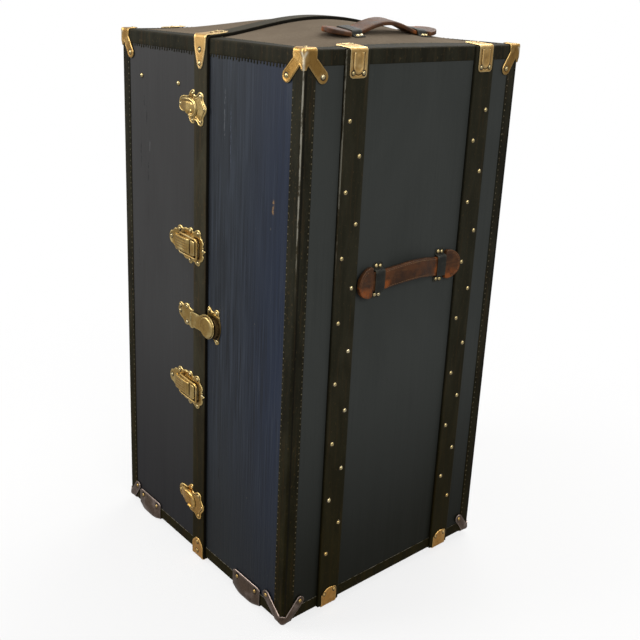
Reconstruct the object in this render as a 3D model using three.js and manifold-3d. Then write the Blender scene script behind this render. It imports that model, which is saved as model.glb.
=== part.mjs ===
// Upright steamer (wardrobe) trunk. Millimetres, +Z up.
//
// The body is laid out in a working frame whose corner is the lower front left
// corner of the closed case: x runs across the lock face, y runs from the lock
// face to the hinge side, z runs up. The exported group is shifted so that the
// origin is the middle of the bounding box at floor level.
import * as THREE from 'three';
import { mergeVertices } from 'three/addons/utils/BufferGeometryUtils.js';
import Module from 'manifold-3d';

const wasm = await Module();
wasm.setup();
const { Manifold, Mesh: MMesh } = wasm;

// ---------------------------------------------------------------- dimensions
const W = 531;            // width of the lock face
const D = 502;            // depth, lock face to hinge side
const H = 1000;           // height at the straight top edges
const WALL = 9;           // plywood wall
const SEAM = 250;         // the two halves part here
const GAP = 0.4;          // air between the halves
const TOUCH = 0.3;        // air between pieces that bear on each other
const CROWN = 32.6;       // rise of the pillowed top at its middle
const SKIN = 1.5;         // binding stands this far off the panels
const BAND = 24;          // width of the edge binding
const STRIP_W = 39;       // raised hardwood strip beside the seam
const STRIP_T = 6;        // and its thickness
const SLAT_W = 49;        // hardwood slats on the end faces
const SLAT_Y = [104, 407];// their centre lines
const SLAT_T = 6;
const PLATE = 1.4;        // sheet brass
const FLOOR = -13.2;      // underside of the glides
const HINGE_X = 249.8, HINGE_Y = 512, KNUCKLE_R = 3;
const CATCH_Z = [349, 632];   // draw catches
const DOWEL_Z = [110, 883];   // aligning dowels
const LOCK_Z = 495;           // hasp lock
const HANDLE_Y0 = 127.7, HANDLE_Y1 = 382, HANDLE_Z = 615, TOP_HANDLE_X = 430;
const LOOP_Y = [180.5, 336];
const DRAWERS = 4, CAB_Z0 = 9.4, CAB_Z1 = 770, BOARD = 6;
const SHIFT = [-271.65, -249.75, 13.2];

// ---------------------------------------------------------------- materials
const mat = (color, roughness, metalness = 0) =>
  new THREE.MeshStandardMaterial({ color, roughness, metalness });
const M = {
  navy: () => mat(0x2b2f3c, 0.55), binding: () => mat(0x2c2a22, 0.6),
  brass: () => mat(0xaa8746, 0.4, 0.85), steel: () => mat(0x5e5349, 0.45, 0.8),
  leather: () => mat(0x5d3220, 0.6), black: () => mat(0x2b2f2c, 0.65),
  wood: () => mat(0x8a6a45, 0.6), lining: () => mat(0x9c8f78, 0.8),
};

// ---------------------------------------------------------------- helpers
const group = new THREE.Group();
group.name = 'steamer_trunk';
group.position.set(...SHIFT);

function solid(g) {
  let q = g.clone();
  q.deleteAttribute('normal'); q.deleteAttribute('uv');
  q = mergeVertices(q, 1e-4);
  return new Manifold(new MMesh({
    numProp: 3,
    vertProperties: new Float32Array(q.attributes.position.array),
    triVerts: new Uint32Array(q.index.array),
  }));
}
function geom(s) {
  const m = s.getMesh();
  const g = new THREE.BufferGeometry();
  const p = new Float32Array(m.vertProperties.length / m.numProp * 3);
  for (let i = 0; i < p.length / 3; i++)
    for (let k = 0; k < 3; k++) p[3 * i + k] = m.vertProperties[m.numProp * i + k];
  g.setAttribute('position', new THREE.BufferAttribute(p, 3));
  g.setIndex(new THREE.BufferAttribute(new Uint32Array(m.triVerts), 1));
  g.computeVertexNormals();
  return g;
}
function add(name, shape, material) {
  const g = shape instanceof THREE.BufferGeometry ? shape : geom(shape);
  const mesh = new THREE.Mesh(g, material());
  mesh.name = name;
  group.add(mesh);
  return mesh;
}
// map every vertex of a closed geometry; flip turns the faces round again
function warp(g, f, flip = false) {
  let q = g.clone();
  q.deleteAttribute('normal'); q.deleteAttribute('uv');
  q = mergeVertices(q, 1e-4);
  const a = q.attributes.position;
  for (let i = 0; i < a.count; i++) a.setXYZ(i, ...f(a.getX(i), a.getY(i), a.getZ(i)));
  if (flip) {
    const ix = q.index.array;
    for (let i = 0; i < ix.length; i += 3) [ix[i], ix[i + 1]] = [ix[i + 1], ix[i]];
  }
  q.computeVertexNormals();
  return q;
}
const mirrorX = (g) => warp(g instanceof THREE.BufferGeometry ? g : geom(g), (x, y, z) => [W - x, y, z], true);
const mirrorY = (g) => warp(g instanceof THREE.BufferGeometry ? g : geom(g), (x, y, z) => [x, D - y, z], true);

function block(x0, x1, y0, y1, z0, z1) {
  const g = new THREE.BoxGeometry(x1 - x0, y1 - y0, z1 - z0);
  g.translate((x0 + x1) / 2, (y0 + y1) / 2, (z0 + z1) / 2);
  return solid(g);
}
// outline in the plane of a face, extruded between two distances off it
function plate(face, pts, c0, c1, bevel = 0) {
  const s = new THREE.Shape(pts.map(([a, b]) => new THREE.Vector2(a, b)));
  const g = new THREE.ExtrudeGeometry(s, bevel
    ? { depth: c1 - c0 - 2 * bevel, bevelEnabled: true, bevelThickness: bevel, bevelSize: bevel, bevelOffset: -bevel, bevelSegments: 1, steps: 1, curveSegments: 6 }
    : { depth: c1 - c0, bevelEnabled: false, steps: 1, curveSegments: 6 });
  g.translate(0, 0, c0 + bevel);
  const map = {
    front: (a, b, c) => [a, -c, b],
    right: (a, b, c) => [W + c, a, b],
    top: (a, b, c) => [a, b, c],
  }[face];
  return solid(warp(g, map));
}
function disc(cx, cz, r, n = 20, a0 = 0) {
  const p = [];
  for (let i = 0; i < n; i++) { const t = a0 + 2 * Math.PI * i / n; p.push([cx + r * Math.cos(t), cz + r * Math.sin(t)]); }
  return p;
}
// cylinder along z
function rod(x, y, z0, z1, r, n = 16) {
  const g = new THREE.CylinderGeometry(r, r, z1 - z0, n);
  g.rotateX(Math.PI / 2);
  g.translate(x, y, (z0 + z1) / 2);
  return solid(g);
}
// convex or plain ring sections joined into one closed body
function loft(rings) {
  const n = rings[0].length, pos = [], idx = [];
  rings.forEach((r) => r.forEach((p) => pos.push(...p)));
  for (let k = 0; k < rings.length - 1; k++)
    for (let i = 0; i < n; i++) {
      const j = (i + 1) % n, a = k * n + i, b = k * n + j, c = a + n, d = b + n;
      idx.push(a, b, d, a, d, c);
    }
  const cap = (k, rev) => {
    const r = rings[k];
    // flatten the ring on its two widest axes
    const ext = [0, 1, 2].map((q) => Math.max(...r.map((p) => p[q])) - Math.min(...r.map((p) => p[q])));
    const drop = ext.indexOf(Math.min(...ext)), u = (drop + 1) % 3, v = (drop + 2) % 3;
    const flat = r.map((p) => new THREE.Vector2(p[u], p[v]));
    const turned = THREE.ShapeUtils.isClockWise(flat);
    const tri = THREE.ShapeUtils.triangulateShape(turned ? [...flat].reverse() : flat, []);
    tri.forEach((t) => {
      const q = t.map((i) => k * n + (turned ? n - 1 - i : i));
      // keep the ring's own turning sense
      const w = turned ? [q[0], q[2], q[1]] : q;
      idx.push(...(rev ? [w[0], w[2], w[1]] : w));
    });
  };
  cap(0, true); cap(rings.length - 1, false);
  const g = new THREE.BufferGeometry();
  g.setAttribute('position', new THREE.BufferAttribute(new Float32Array(pos), 3));
  g.setIndex(idx);
  // turn the whole body if its volume came out negative
  let vol = 0;
  const P = (i) => new THREE.Vector3(pos[3 * i], pos[3 * i + 1], pos[3 * i + 2]);
  for (let i = 0; i < idx.length; i += 3) vol += P(idx[i]).dot(P(idx[i + 1]).cross(P(idx[i + 2])));
  if (vol < 0) for (let i = 0; i < idx.length; i += 3) [idx[i], idx[i + 1]] = [idx[i + 1], idx[i]];
  g.setIndex(idx);
  g.computeVertexNormals();
  return g;
}

// pillowed top of the case
const clamp01 = (t) => Math.max(0, Math.min(1, t));
function crown(x, y) {
  const sx = Math.sin(Math.PI * clamp01(x / W)), sy = Math.sin(Math.PI * clamp01(y / D));
  return CROWN * sx * Math.pow(sy, 1.5);
}
const CX = [0, 41, 91, 151, 203, 250, 289, 328, 380, 440, 490, 531];
const CY = [0, 25, 50, 78, 104, 130, 178, 215, 251, 287, 324, 372, 398, 424, 452, 477, 502];
// box with the pillowed top, every face moved out by its own offset
function pillow(x0, x1, o = {}) {
  const { f = 0, b = 0, l = 0, r = 0, t = 0, d = 0, z0 = 0 } = o;
  const inner = (list, lo, hi) => [lo, ...list.filter((v) => v > lo + 3 && v < hi - 3), hi];
  const xs = inner(CX, x0 - l, x1 + r), ys = inner(CY, -f, D + b);
  const nx = xs.length, ny = ys.length, pos = [], idx = [];
  for (let k = 0; k < 2; k++)
    for (const y of ys) for (const x of xs) pos.push(x, y, k ? H + t + crown(x, y) : z0 - d);
  const at = (k, i, j) => k * nx * ny + j * nx + i;
  for (let j = 0; j < ny - 1; j++)
    for (let i = 0; i < nx - 1; i++) {
      idx.push(at(1, i, j), at(1, i + 1, j), at(1, i + 1, j + 1), at(1, i, j), at(1, i + 1, j + 1), at(1, i, j + 1));
      idx.push(at(0, i, j), at(0, i + 1, j + 1), at(0, i + 1, j), at(0, i, j), at(0, i, j + 1), at(0, i + 1, j + 1));
    }
  for (let i = 0; i < nx - 1; i++) {
    idx.push(at(0, i, 0), at(0, i + 1, 0), at(1, i + 1, 0), at(0, i, 0), at(1, i + 1, 0), at(1, i, 0));
    idx.push(at(0, i, ny - 1), at(1, i + 1, ny - 1), at(0, i + 1, ny - 1), at(0, i, ny - 1), at(1, i, ny - 1), at(1, i + 1, ny - 1));
  }
  for (let j = 0; j < ny - 1; j++) {
    idx.push(at(0, 0, j), at(1, 0, j + 1), at(0, 0, j + 1), at(0, 0, j), at(1, 0, j), at(1, 0, j + 1));
    idx.push(at(0, nx - 1, j), at(0, nx - 1, j + 1), at(1, nx - 1, j + 1), at(0, nx - 1, j), at(1, nx - 1, j + 1), at(1, nx - 1, j));
  }
  const g = new THREE.BufferGeometry();
  g.setAttribute('position', new THREE.BufferAttribute(new Float32Array(pos), 3));
  g.setIndex(idx);
  return solid(g);
}
// thin shell that hugs the case between two offsets, cut to a region
function hug(inO, outO, region) {
  return pillow(0, W, outO).subtract(pillow(0, W, inO)).intersect(region);
}
const even = (v) => ({ f: v, b: v, l: v, r: v, t: v, d: v });
const union = (list) => list.slice(1).reduce((a, s) => a.add(s), list[0]);

// ---------------------------------------------------------------- two halves
const leftCase = pillow(0, SEAM - GAP, {})
  .subtract(pillow(WALL, SEAM + 20, { f: -WALL, b: -WALL, t: -12, z0: WALL }));
add('left_shell', leftCase, M.navy);
const rightCase = pillow(SEAM, W, {})
  .subtract(pillow(SEAM - 20, W - WALL, { f: -WALL, b: -WALL, t: -12, z0: WALL }));
add('right_shell', rightCase, M.navy);

// edge binding: folded fibre strips glued and tacked over every outer edge
function edges(x0, x1, side) {
  const B = BAND, far = 40;
  const sx = side === 'l' ? [-far, B] : [W - B, W + far];
  const r = [
    block(sx[0], sx[1], -far, B, -far, H + far), block(sx[0], sx[1], D - B, D + far, -far, H + far),
    block(x0, x1, -far, B, H - B, H + far), block(x0, x1, D - B, D + far, H - B, H + far),
    block(sx[0], sx[1], -far, D + far, H - B, H + far),
    block(x0, x1, -far, B, -far, B - 2), block(x0, x1, D - B, D + far, -far, B - 2),
    block(sx[0], sx[1], -far, D + far, -far, B - 2),
  ];
  return union(r);
}
const bandSkin = pillow(0, W, even(SKIN)).subtract(pillow(0, W, even(TOUCH)));
const slatCut = (side) => union(SLAT_Y.map((y) => side === 'r'
  ? block(W + 0.1, W + 20, y - SLAT_W / 2 - TOUCH, y + SLAT_W / 2 + TOUCH, -20, H + TOUCH)
  : block(-20, -0.1, y - SLAT_W / 2 - TOUCH, y + SLAT_W / 2 + TOUCH, -20, H + TOUCH)));
add('left_edge_binding', bandSkin.intersect(edges(-60, SEAM - GAP, 'l')).subtract(slatCut('l')), M.binding);
add('right_edge_binding', bandSkin.intersect(edges(SEAM + STRIP_W + TOUCH, W + 60, 'r')).subtract(slatCut('r')), M.binding);

// hardwood strip beside the seam, right round the right half
add('seam_strip', hug({ f: TOUCH, b: TOUCH, l: TOUCH, r: TOUCH, t: TOUCH, d: TOUCH }, even(STRIP_T),
  block(SEAM, SEAM + STRIP_W, -60, D + 60, -60, H + 100)), M.binding);

// slats on both end faces
SLAT_Y.forEach((y, i) => {
  const where = i ? 'rear' : 'front';
  const s = plate('right', [[y - SLAT_W / 2, 0], [y + SLAT_W / 2, 0], [y + SLAT_W / 2, H], [y - SLAT_W / 2, H]], TOUCH, SLAT_T, 1);
  add(`right_slat_${where}`, s, M.binding);
  add(`left_slat_${where}`, mirrorX(s), M.binding);
});

// ---------------------------------------------------------------- sheet clamps
// slat clamps lap the slat ends and turn over the edge
const SC = SLAT_T + TOUCH;
SLAT_Y.forEach((y, i) => {
  const where = i ? 'rear' : 'front';
  const topR = block(W - 46, W + 30, y - 18, y + 18, H - 44, H + 60);
  const top = hug({ ...even(SKIN + TOUCH), r: SC }, { ...even(SKIN + TOUCH + PLATE), r: SC + PLATE }, topR);
  add(`right_slat_${where}_top_clamp`, top, M.brass);
  add(`left_slat_${where}_top_clamp`, hug({ ...even(SKIN + TOUCH), l: SC }, { ...even(SKIN + TOUCH + PLATE), l: SC + PLATE },
    block(-30, 46, y - 18, y + 18, H - 44, H + 60)), M.brass);
  const botR = block(W - 40, W + 30, y - 18, y + 18, -60, 34);
  const bot = hug({ ...even(SKIN + TOUCH), r: SC }, { ...even(SKIN + TOUCH + PLATE), r: SC + PLATE + 1 }, botR);
  add(`right_slat_${where}_bottom_clamp`, bot, M.brass);
  add(`left_slat_${where}_bottom_clamp`, mirrorX(bot), M.brass);
});
// seam strip clamps: one turned over the top edge, one under the bottom edge
{
  const tongue = [[SEAM + 2, H + 60], [SEAM + 2, H - 12], [SEAM + 11, H - 46], [SEAM + 16, H - 51], [SEAM + 23, H - 51], [SEAM + 28, H - 46], [SEAM + 37, H - 12], [SEAM + 37, H + 60]];
  const r = plate('front', tongue, -3, 40).add(block(SEAM + 2, SEAM + 37, 0, 42, H - 2, H + 80));
  add('seam_top_clamp', hug(even(STRIP_T + TOUCH), even(STRIP_T + TOUCH + PLATE), r), M.brass);
  const heel = [[SEAM + 2, -60], [SEAM + 2, 22], [SEAM + 12, 36], [SEAM + 27, 36], [SEAM + 37, 22], [SEAM + 37, -60]];
  const rb = plate('front', heel, -3, 40).add(block(SEAM + 2, SEAM + 37, 0, 42, -80, 2));
  add('seam_bottom_clamp', hug(even(STRIP_T + TOUCH), even(STRIP_T + TOUCH + PLATE), rb), M.brass);
}

// ---------------------------------------------------------------- corners
// three-sided caps with a slanting leg on each upright face
function legOutline(sx, sz, half) {
  // outline in distances from the corner: a inwards, b down, for one leg
  const dx = sx, dz = sz, L = Math.hypot(dx, dz), ux = dx / L, uz = dz / L;
  const px = -uz, pz = ux, pts = [];
  for (let i = 0; i <= 8; i++) {
    const t = -Math.PI / 2 + Math.PI * i / 8;
    pts.push([sx + half * (Math.cos(t) * ux + Math.sin(t) * px), sz + half * (Math.cos(t) * uz + Math.sin(t) * pz)]);
  }
  return pts;
}
function corner(top, legF, legR, half, cap) {
  // a runs inwards from the corner edge, b runs away from the top or bottom
  const faces = [['front', legF], ['right', legR]].map(([face, leg]) => {
    const [sx, sz] = leg;
    const end = legOutline(sx, sz, half);
    const shape = top
      ? [[-12, -70], [cap, -70], [cap, 13], ...end, [3, 32], [-12, 32]]
      : [[-12, -70], [cap, -70], [cap, 3], ...end, [4, 16], [-12, 16]];
    const pts = shape.map(([a, b]) => [face === 'front' ? W - a : a, top ? H - b : b]);
    const p = face === 'front' ? plate('front', pts, -0.2, 30) : plate('right', pts, -0.2, 30);
    return p;
  });
  const c = cap + 3;
  const flat = top
    ? block(W - c, W + 30, -30, c, H - 4, H + 60)
    : block(W - c, W + 30, -30, c, -60, 4);
  const cut = top ? plate('top', [[W - c - 5, c - 8], [W - c + 8, c + 5], [W - c - 5, c + 5]], H - 20, H + 70)
    : plate('top', [[W - c - 5, c - 8], [W - c + 8, c + 5], [W - c - 5, c + 5]], -70, 20);
  const region = union([faces[0], faces[1], flat.subtract(cut)]);
  const o1 = SKIN + TOUCH, o2 = SKIN + TOUCH + PLATE + (top ? 0 : 1);
  return hug(even(o1), even(o2), region);
}
const topC = (a, b) => corner(true, a, b, 10.5, 23);
const botC = (a, b) => corner(false, a, b, 7.5, 17);
add('top_corner_front_right', topC([36, 40], [36, 40]), M.brass);
add('top_corner_front_left', mirrorX(topC([30, 41], [36, 40])), M.brass);
add('top_corner_rear_right', mirrorY(topC([36, 40], [30, 41])), M.brass);
add('top_corner_rear_left', mirrorX(mirrorY(topC([30, 41], [30, 41]))), M.brass);
add('bottom_corner_front_right', botC([45, 35], [37, 34]), M.steel);
add('bottom_corner_front_left', mirrorX(botC([30, 34], [37, 34])), M.steel);
add('bottom_corner_rear_right', mirrorY(botC([45, 35], [31, 34])), M.steel);
add('bottom_corner_rear_left', mirrorX(mirrorY(botC([30, 34], [31, 34]))), M.steel);

// ---------------------------------------------------------------- glides
// pressed steel runners that cup the bottom edge and carry the weight
function glide(cx) {
  const rings = [];
  const us = [-1, -0.86, -0.62, -0.4, -0.25, 0.25, 0.4, 0.62, 0.86, 1];
  const o = SKIN + TOUCH, deep = -FLOOR - o - PLATE;
  for (const u of us) {
    const a = Math.abs(u);
    const b = a <= 0.25 ? 1 : Math.pow(Math.cos(Math.PI / 2 * (a - 0.25) / 0.75), 1.2);
    const x = cx + 41 * u, zt = a > 0.9 ? 29 : 33;
    rings.push([
      [x, -o, zt], [x, -o, -o], [x, 40, -o],
      [x, 40, -o - PLATE], [x, 30, -o - PLATE - deep * b * 0.8], [x, 24, -o - PLATE - deep * b],
      [x, 6, -o - PLATE - deep * b], [x, -2 - 2 * b, -o - PLATE - deep * b * 0.7],
      [x, -o - PLATE - 4.5 * b, 1 - 3 * b], [x, -o - PLATE - 4 * b, 9], [x, -o - PLATE - 1 * b, 19], [x, -o - PLATE, zt],
    ]);
  }
  return loft(rings);
}
const glideL = glide(81), glideR = glide(425.6);
add('glide_front_left', glideL, M.steel);
add('glide_front_right', glideR, M.steel);
add('glide_rear_left', mirrorY(glideL), M.steel);
add('glide_rear_right', mirrorY(glideR), M.steel);

// ---------------------------------------------------------------- dowels
// a lobed plate with a rounded tongue on the left half, its socket plate on the strip
const ON_STRIP = STRIP_T + TOUCH;
DOWEL_Z.forEach((zc, i) => {
  const tag = i ? 'upper' : 'lower';
  const pl = [[198, 6], [198, -5], [203, -11], [215, -12], [226, -17], [232, -26], [240, -30], [246, -27], [249.2, -20], [249.2, 20], [247, 26], [241, 30], [233, 27], [226, 18], [210, 16], [201, 13]]
    .map(([a, b]) => [a, zc + b]);
  const body = [[206, 9], [205.5, 2], [207, -5.5], [213, -8], [222, -10], [231, -13.5], [240, -16.5], [249, -17], [257, -14], [262, -8], [262.5, 0], [259, 8], [252, 13.5], [243, 16], [230, 16], [216, 14.5], [208, 12]]
    .map(([a, b]) => [a, zc + b]);
  const high = plate('front', body.map(([a, b]) => [a, b]), ON_STRIP + PLATE + 0.5, 10.6, 0.8);
  const low = plate('front', body.map(([a, b]) => [Math.min(a, 249.2), b]), 1, ON_STRIP + PLATE + 0.9);
  add(`${tag}_dowel`, plate('front', pl, TOUCH, TOUCH + PLATE).add(low).add(high), M.brass);
  const sk = [[250.6, -20], [262, -23], [268, -27.5], [276, -28], [281, -23], [281, -14], [287, -8], [289.5, 0], [287, 8], [281, 14], [281, 23], [276, 27.5], [268, 27], [262, 23], [250.6, 20]]
    .map(([a, b]) => [a, zc + b]);
  add(`${tag}_dowel_socket`, plate('front', sk, ON_STRIP, ON_STRIP + PLATE), M.brass);
});

// ---------------------------------------------------------------- draw catches
const LEV_X = 238.5, LEV_Y = -8, LEV_R = 4.2, BAIL_X = 206, BAIL_Y = -6.6, WIRE = 1.7;
CATCH_Z.forEach((zc, i) => {
  const tag = i ? 'upper' : 'lower';
  const pl = [[163, 4], [163, -4], [168, -10], [174, -12], [180, -15], [186, -20], [194, -19], [200, -25], [210, -24], [217, -29], [226, -29], [233, -35], [240, -32], [243, -25], [249.3, -25],
    [249.3, 25], [243, 26], [240, 31], [231, 32], [224, 29], [214, 30], [206, 28], [198, 29], [190, 27], [187, 21], [178, 18], [170, 14], [165, 10]].map(([a, b]) => [a, zc + b]);
  // pivot housing: low on the left half, lapping in front of the strip
  const low = plate('top', [[243.5, -1], [243.5, -8.3], [248.6, -12.4], [249.3, -12.4], [249.3, -1]], zc - 13.3, zc + 13.3);
  const lap = plate('top', [[243.5, -8.25], [248.6, -12.4], [260.2, -12.4], [261, -11.6], [261, -ON_STRIP - PLATE - 0.5], [243.5, -ON_STRIP - PLATE - 0.5]], zc - 13.3, zc + 13.3);
  add(`${tag}_catch_base`, plate('front', pl, TOUCH, TOUCH + PLATE).add(low).add(lap), M.brass);
  // lever: closed profile in x and y, turned about the pivot
  const prof = [[191, -2.6], [191, -6.8], [194, -9.3], [206, -11], [224, -12.2], [LEV_X, LEV_Y - LEV_R]];
  for (let k = 1; k <= 6; k++) { const t = -Math.PI / 2 + Math.PI * k / 6; prof.push([LEV_X + LEV_R * Math.cos(t), LEV_Y + LEV_R * Math.sin(t)]); }
  prof.push([230, -2.9]);
  add(`${tag}_catch_lever`, plate('top', prof.map(([a, b]) => [a, b]), zc - 13.3, zc + 13.3), M.brass);
  // wire bail: two arms, a cross bar, and short inward ends at the lever
  const barY = -ON_STRIP - PLATE - 0.9 - WIRE - 1.2, barX = 269;
  const path = new THREE.CurvePath(), q = [
    [BAIL_X, BAIL_Y, zc + 13.8], [BAIL_X, BAIL_Y, zc + 16.3], [BAIL_X + 3, BAIL_Y - 0.2, zc + 18.2], [barX - 6, barY + 0.3, zc + 18.2], [barX - 1.5, barY, zc + 16.8], [barX, barY, zc + 13],
    [barX, barY, zc - 13], [barX - 1.5, barY, zc - 16.8], [barX - 6, barY + 0.3, zc - 18.2], [BAIL_X + 3, BAIL_Y - 0.2, zc - 18.2], [BAIL_X, BAIL_Y, zc - 16.3], [BAIL_X, BAIL_Y, zc - 13.8]];
  const rings = q.map((p, k) => {
    const a = q[Math.max(0, k - 1)], b = q[Math.min(q.length - 1, k + 1)];
    const t = new THREE.Vector3(b[0] - a[0], b[1] - a[1], b[2] - a[2]).normalize();
    const up = new THREE.Vector3(0, 1, 0), s = new THREE.Vector3().crossVectors(t, up).normalize(), n = new THREE.Vector3().crossVectors(s, t).normalize();
    return Array.from({ length: 8 }, (_, m) => {
      const w = 2 * Math.PI * m / 8;
      return [0, 1, 2].map((c) => p[c] + WIRE * (Math.cos(w) * s.getComponent(c) + Math.sin(w) * n.getComponent(c)));
    });
  });
  add(`${tag}_catch_bail`, loft(rings), M.brass);
  // keeper plate with a low lip behind the bar
  const kp = [[250.6, -22], [256, -27], [264, -31], [271, -30], [275, -23], [281, -19], [284, -11], [283.5, -6], [288.8, 0], [283.5, 6], [284, 12], [281, 20], [275, 25], [272, 33], [265, 35], [256, 31], [250.6, 25]].map(([a, b]) => [a, zc + b]);
  add(`${tag}_catch_keeper`, plate('front', kp, ON_STRIP, ON_STRIP + PLATE).add(block(265, 270.6, -ON_STRIP - PLATE - 0.7, -ON_STRIP - 0.2, zc - 12, zc + 12)), M.brass);
});

// ---------------------------------------------------------------- hasp lock
const HASP_X = 246.5, HASP_Y = -7.4, HASP_R = 2.6;
{
  const z = LOCK_Z;
  const pl = [[195, 9], [195, -3], [199, -9], [204, -12], [211, -16], [217, -21], [227, -21.5], [234, -23], [242, -23], [246, -18], [249.2, -13], [249.2, 13], [240, 14], [232, 15.5], [228, 19.5], [219, 20.5], [211, 16], [201, 17], [196, 14]].map(([a, b]) => [a, z + b]);
  const barrels = [-11.5, 6.5].map((o) => rod(HASP_X, HASP_Y, z + o, z + o + 5, HASP_R)
    .add(block(HASP_X - HASP_R, HASP_X + HASP_R, HASP_Y, -1, z + o, z + o + 5)));
  const pin = rod(HASP_X, HASP_Y, z - 11, z + 11, 1, 12);
  add('hasp_plate', union([plate('front', pl, TOUCH, TOUCH + PLATE), ...barrels, pin]), M.brass);
  // hinged strap with a rounded head
  const y0 = ON_STRIP + PLATE + 0.5;
  const arm = [[HASP_X, -5.8], [HASP_X, 5.8], [252, 14.3], [262, 14.8], [276, 14.2], [283, 18.5], [290, 21.8], [300, 22.4], [309, 20], [316, 14.5], [320.5, 6], [321.5, -3], [319, -11.5], [313, -18.5], [305, -22.3], [297, -22.3], [290, -19.5], [284, -15.5], [276, -14], [262, -14.5], [252, -14]].map(([a, b]) => [a, z + b]);
  const knuckle = rod(HASP_X, HASP_Y, z - 5.8, z + 5.8, HASP_R).add(block(HASP_X, HASP_X + 6, -y0 - 2, -y0, z - 5.8, z + 5.8));
  const bore = rod(HASP_X, HASP_Y, z - 20, z + 20, 1.4, 12);
  const cut = union([block(HASP_X - 20, HASP_X + 3.2, -20, 0, z + 5.9, z + 40), block(HASP_X - 20, HASP_X + 3.2, -20, 0, z - 40, z - 5.9)]);
  const head = plate('front', disc(300.5, z - 0.5, 19.6, 24), y0 + 1, 13.6, 1.6);
  add('hasp', plate('front', arm, y0, y0 + 2).subtract(cut).add(knuckle).add(head).subtract(bore), M.brass);
  // lock body on the right half
  const lk = [[290, 31], [295, 36], [302, 31.5], [311, 31], [318, 37], [325, 34], [325.5, 25], [330, 15], [331.5, 4], [330.5, -6], [327, -14], [325.5, -20], [325.5, -27], [320, -30.5], [314, -27], [309, -22.5], [300, -21.5], [289.5, -19]].map(([a, b]) => [a, z + b]);
  add('lock_case', plate('front', lk, TOUCH, TOUCH + PLATE).add(plate('front', disc(309.5, z - 0.5, 18.5, 24), 1, 6.6, 1)), M.brass);
}

// ---------------------------------------------------------------- handles
// both handles are made flat in (across, along, out) and laid on their face
const STRAP_T = 7, LIFT = 13;
function strap(map, rise) {
  const rings = [], y0 = HANDLE_Y0, y1 = HANDLE_Y1, lo = LOOP_Y[0] + 12, hi = LOOP_Y[1] - 12;
  const ends = [0, 2, 6, 12, 20, 32, 36, 39];
  const all = [...ends.map((v) => y0 + v), lo - 12, lo, ...[0.1, 0.22, 0.36, 0.5, 0.64, 0.78, 0.9].map((t) => lo + t * (hi - lo)), hi, ...ends.slice(0, 6).reverse().map((v) => y1 - v)];
  all.splice(all.length - 6, 0, y1 - 34.5);
  for (const y of all) {
    const e = Math.min(y - y0, y1 - y), first = y - y0 < y1 - y;
    const step = first ? 37.5 : 34;
    // half-moon end pads, wider than the strap between them
    const half = e < step ? 27.5 * Math.sqrt(Math.max(0.05, 1 - Math.pow((step - 5 - Math.min(e, step - 5)) / (step - 5), 2))) : 17.4;
    const f = y <= lo || y >= hi ? 0 : Math.pow(Math.sin(Math.PI * (y - lo) / (hi - lo)), 1.2);
    // the pads ride up over the slat edges
    const pad = e < step ? 6 * (1 - e / step) : 0;
    const n0 = TOUCH + 0.7 + pad + LIFT * f, th = e < 1 ? 4 : e < step ? 8 : STRAP_T, u0 = rise * f;
    rings.push([[-half, 0.25], [-half, 0.75], [-half * 0.86, 1], [half * 0.86, 1], [half, 0.75], [half, 0.25], [half * 0.86, 0], [-half * 0.86, 0]]
      .map(([u, k]) => map(u0 + u, y, n0 + th * k + (e < 1 ? 2 : 0))));
  }
  return loft(rings);
}
function loop(map, yc) {
  // leather band over the strap, its two feet nailed to the panel
  const n0 = TOUCH, t = 1.6, top = STRAP_T + 1.7;
  const outer = [[-31, n0], [-31, n0 + t], [-21, n0 + t], [-19, top + t - 1], [-17, top + t], [17, top + t], [19, top + t - 1], [21, n0 + t], [31, n0 + t], [31, n0]];
  const inner = [[19.6, n0], [18, top - 1], [16, top], [-16, top], [-18, top - 1], [-19.6, n0]];
  const prof = [...outer, ...inner];
  return loft([yc - 11, yc + 11].map((y) => prof.map(([u, n]) => map(u, y, n))));
}
const onSide = (u, y, n) => [W + n, y, HANDLE_Z + u];
const onTop = (u, y, n) => [TOP_HANDLE_X + u, y, H + crown(TOP_HANDLE_X + u, y) + n + 0.1];
add('side_handle_strap', strap(onSide, 10), M.leather);
add('top_handle_strap', strap(onTop, 0), M.leather);
LOOP_Y.forEach((y, i) => {
  add(`side_handle_loop_${i ? 'rear' : 'front'}`, loop(onSide, y), M.black);
  add(`top_handle_loop_${i ? 'rear' : 'front'}`, loop(onTop, y), M.black);
});

// ---------------------------------------------------------------- hinge
// long butt hinge on the rear face; the pin is peened into the left leaf
{
  const z0 = 50, z1 = 950, n = 9, seg = (z1 - z0) / n;
  const L = [plate('top', [[206, D + TOUCH], [241, D + TOUCH], [241, D + TOUCH + PLATE], [206, D + TOUCH + PLATE]], z0, z1)];
  const R = [plate('top', [[253.6, D + ON_STRIP], [286, D + ON_STRIP], [286, D + ON_STRIP + PLATE], [253.6, D + ON_STRIP + PLATE]], z0, z1)];
  for (let k = 0; k < n; k++) {
    const a = z0 + k * seg + 0.25, b = z0 + (k + 1) * seg - 0.25;
    const web = k % 2
      ? plate('top', [[HINGE_X, HINGE_Y + 0.6], [HINGE_X, HINGE_Y - 2.6], [254.5, D + ON_STRIP], [254.5, D + ON_STRIP + PLATE]], a, b)
      : plate('top', [[239, D + TOUCH], [240, D + TOUCH], [HINGE_X + 0.4, HINGE_Y - 2.4], [HINGE_X - 1.6, HINGE_Y + 0.8], [239, D + TOUCH + PLATE]], a, b);
    (k % 2 ? R : L).push(web, rod(HINGE_X, HINGE_Y, a, b, KNUCKLE_R, 12));
  }
  const left = union(L).add(rod(HINGE_X, HINGE_Y, z0 + 0.3, z1 - 0.3, 1.2, 12));
  const right = union(R).subtract(rod(HINGE_X, HINGE_Y, z0 - 5, z1 + 5, 1.7, 12));
  add('hinge_leaf_left', left, M.steel);
  add('hinge_leaf_right', right, M.steel);
}

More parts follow.
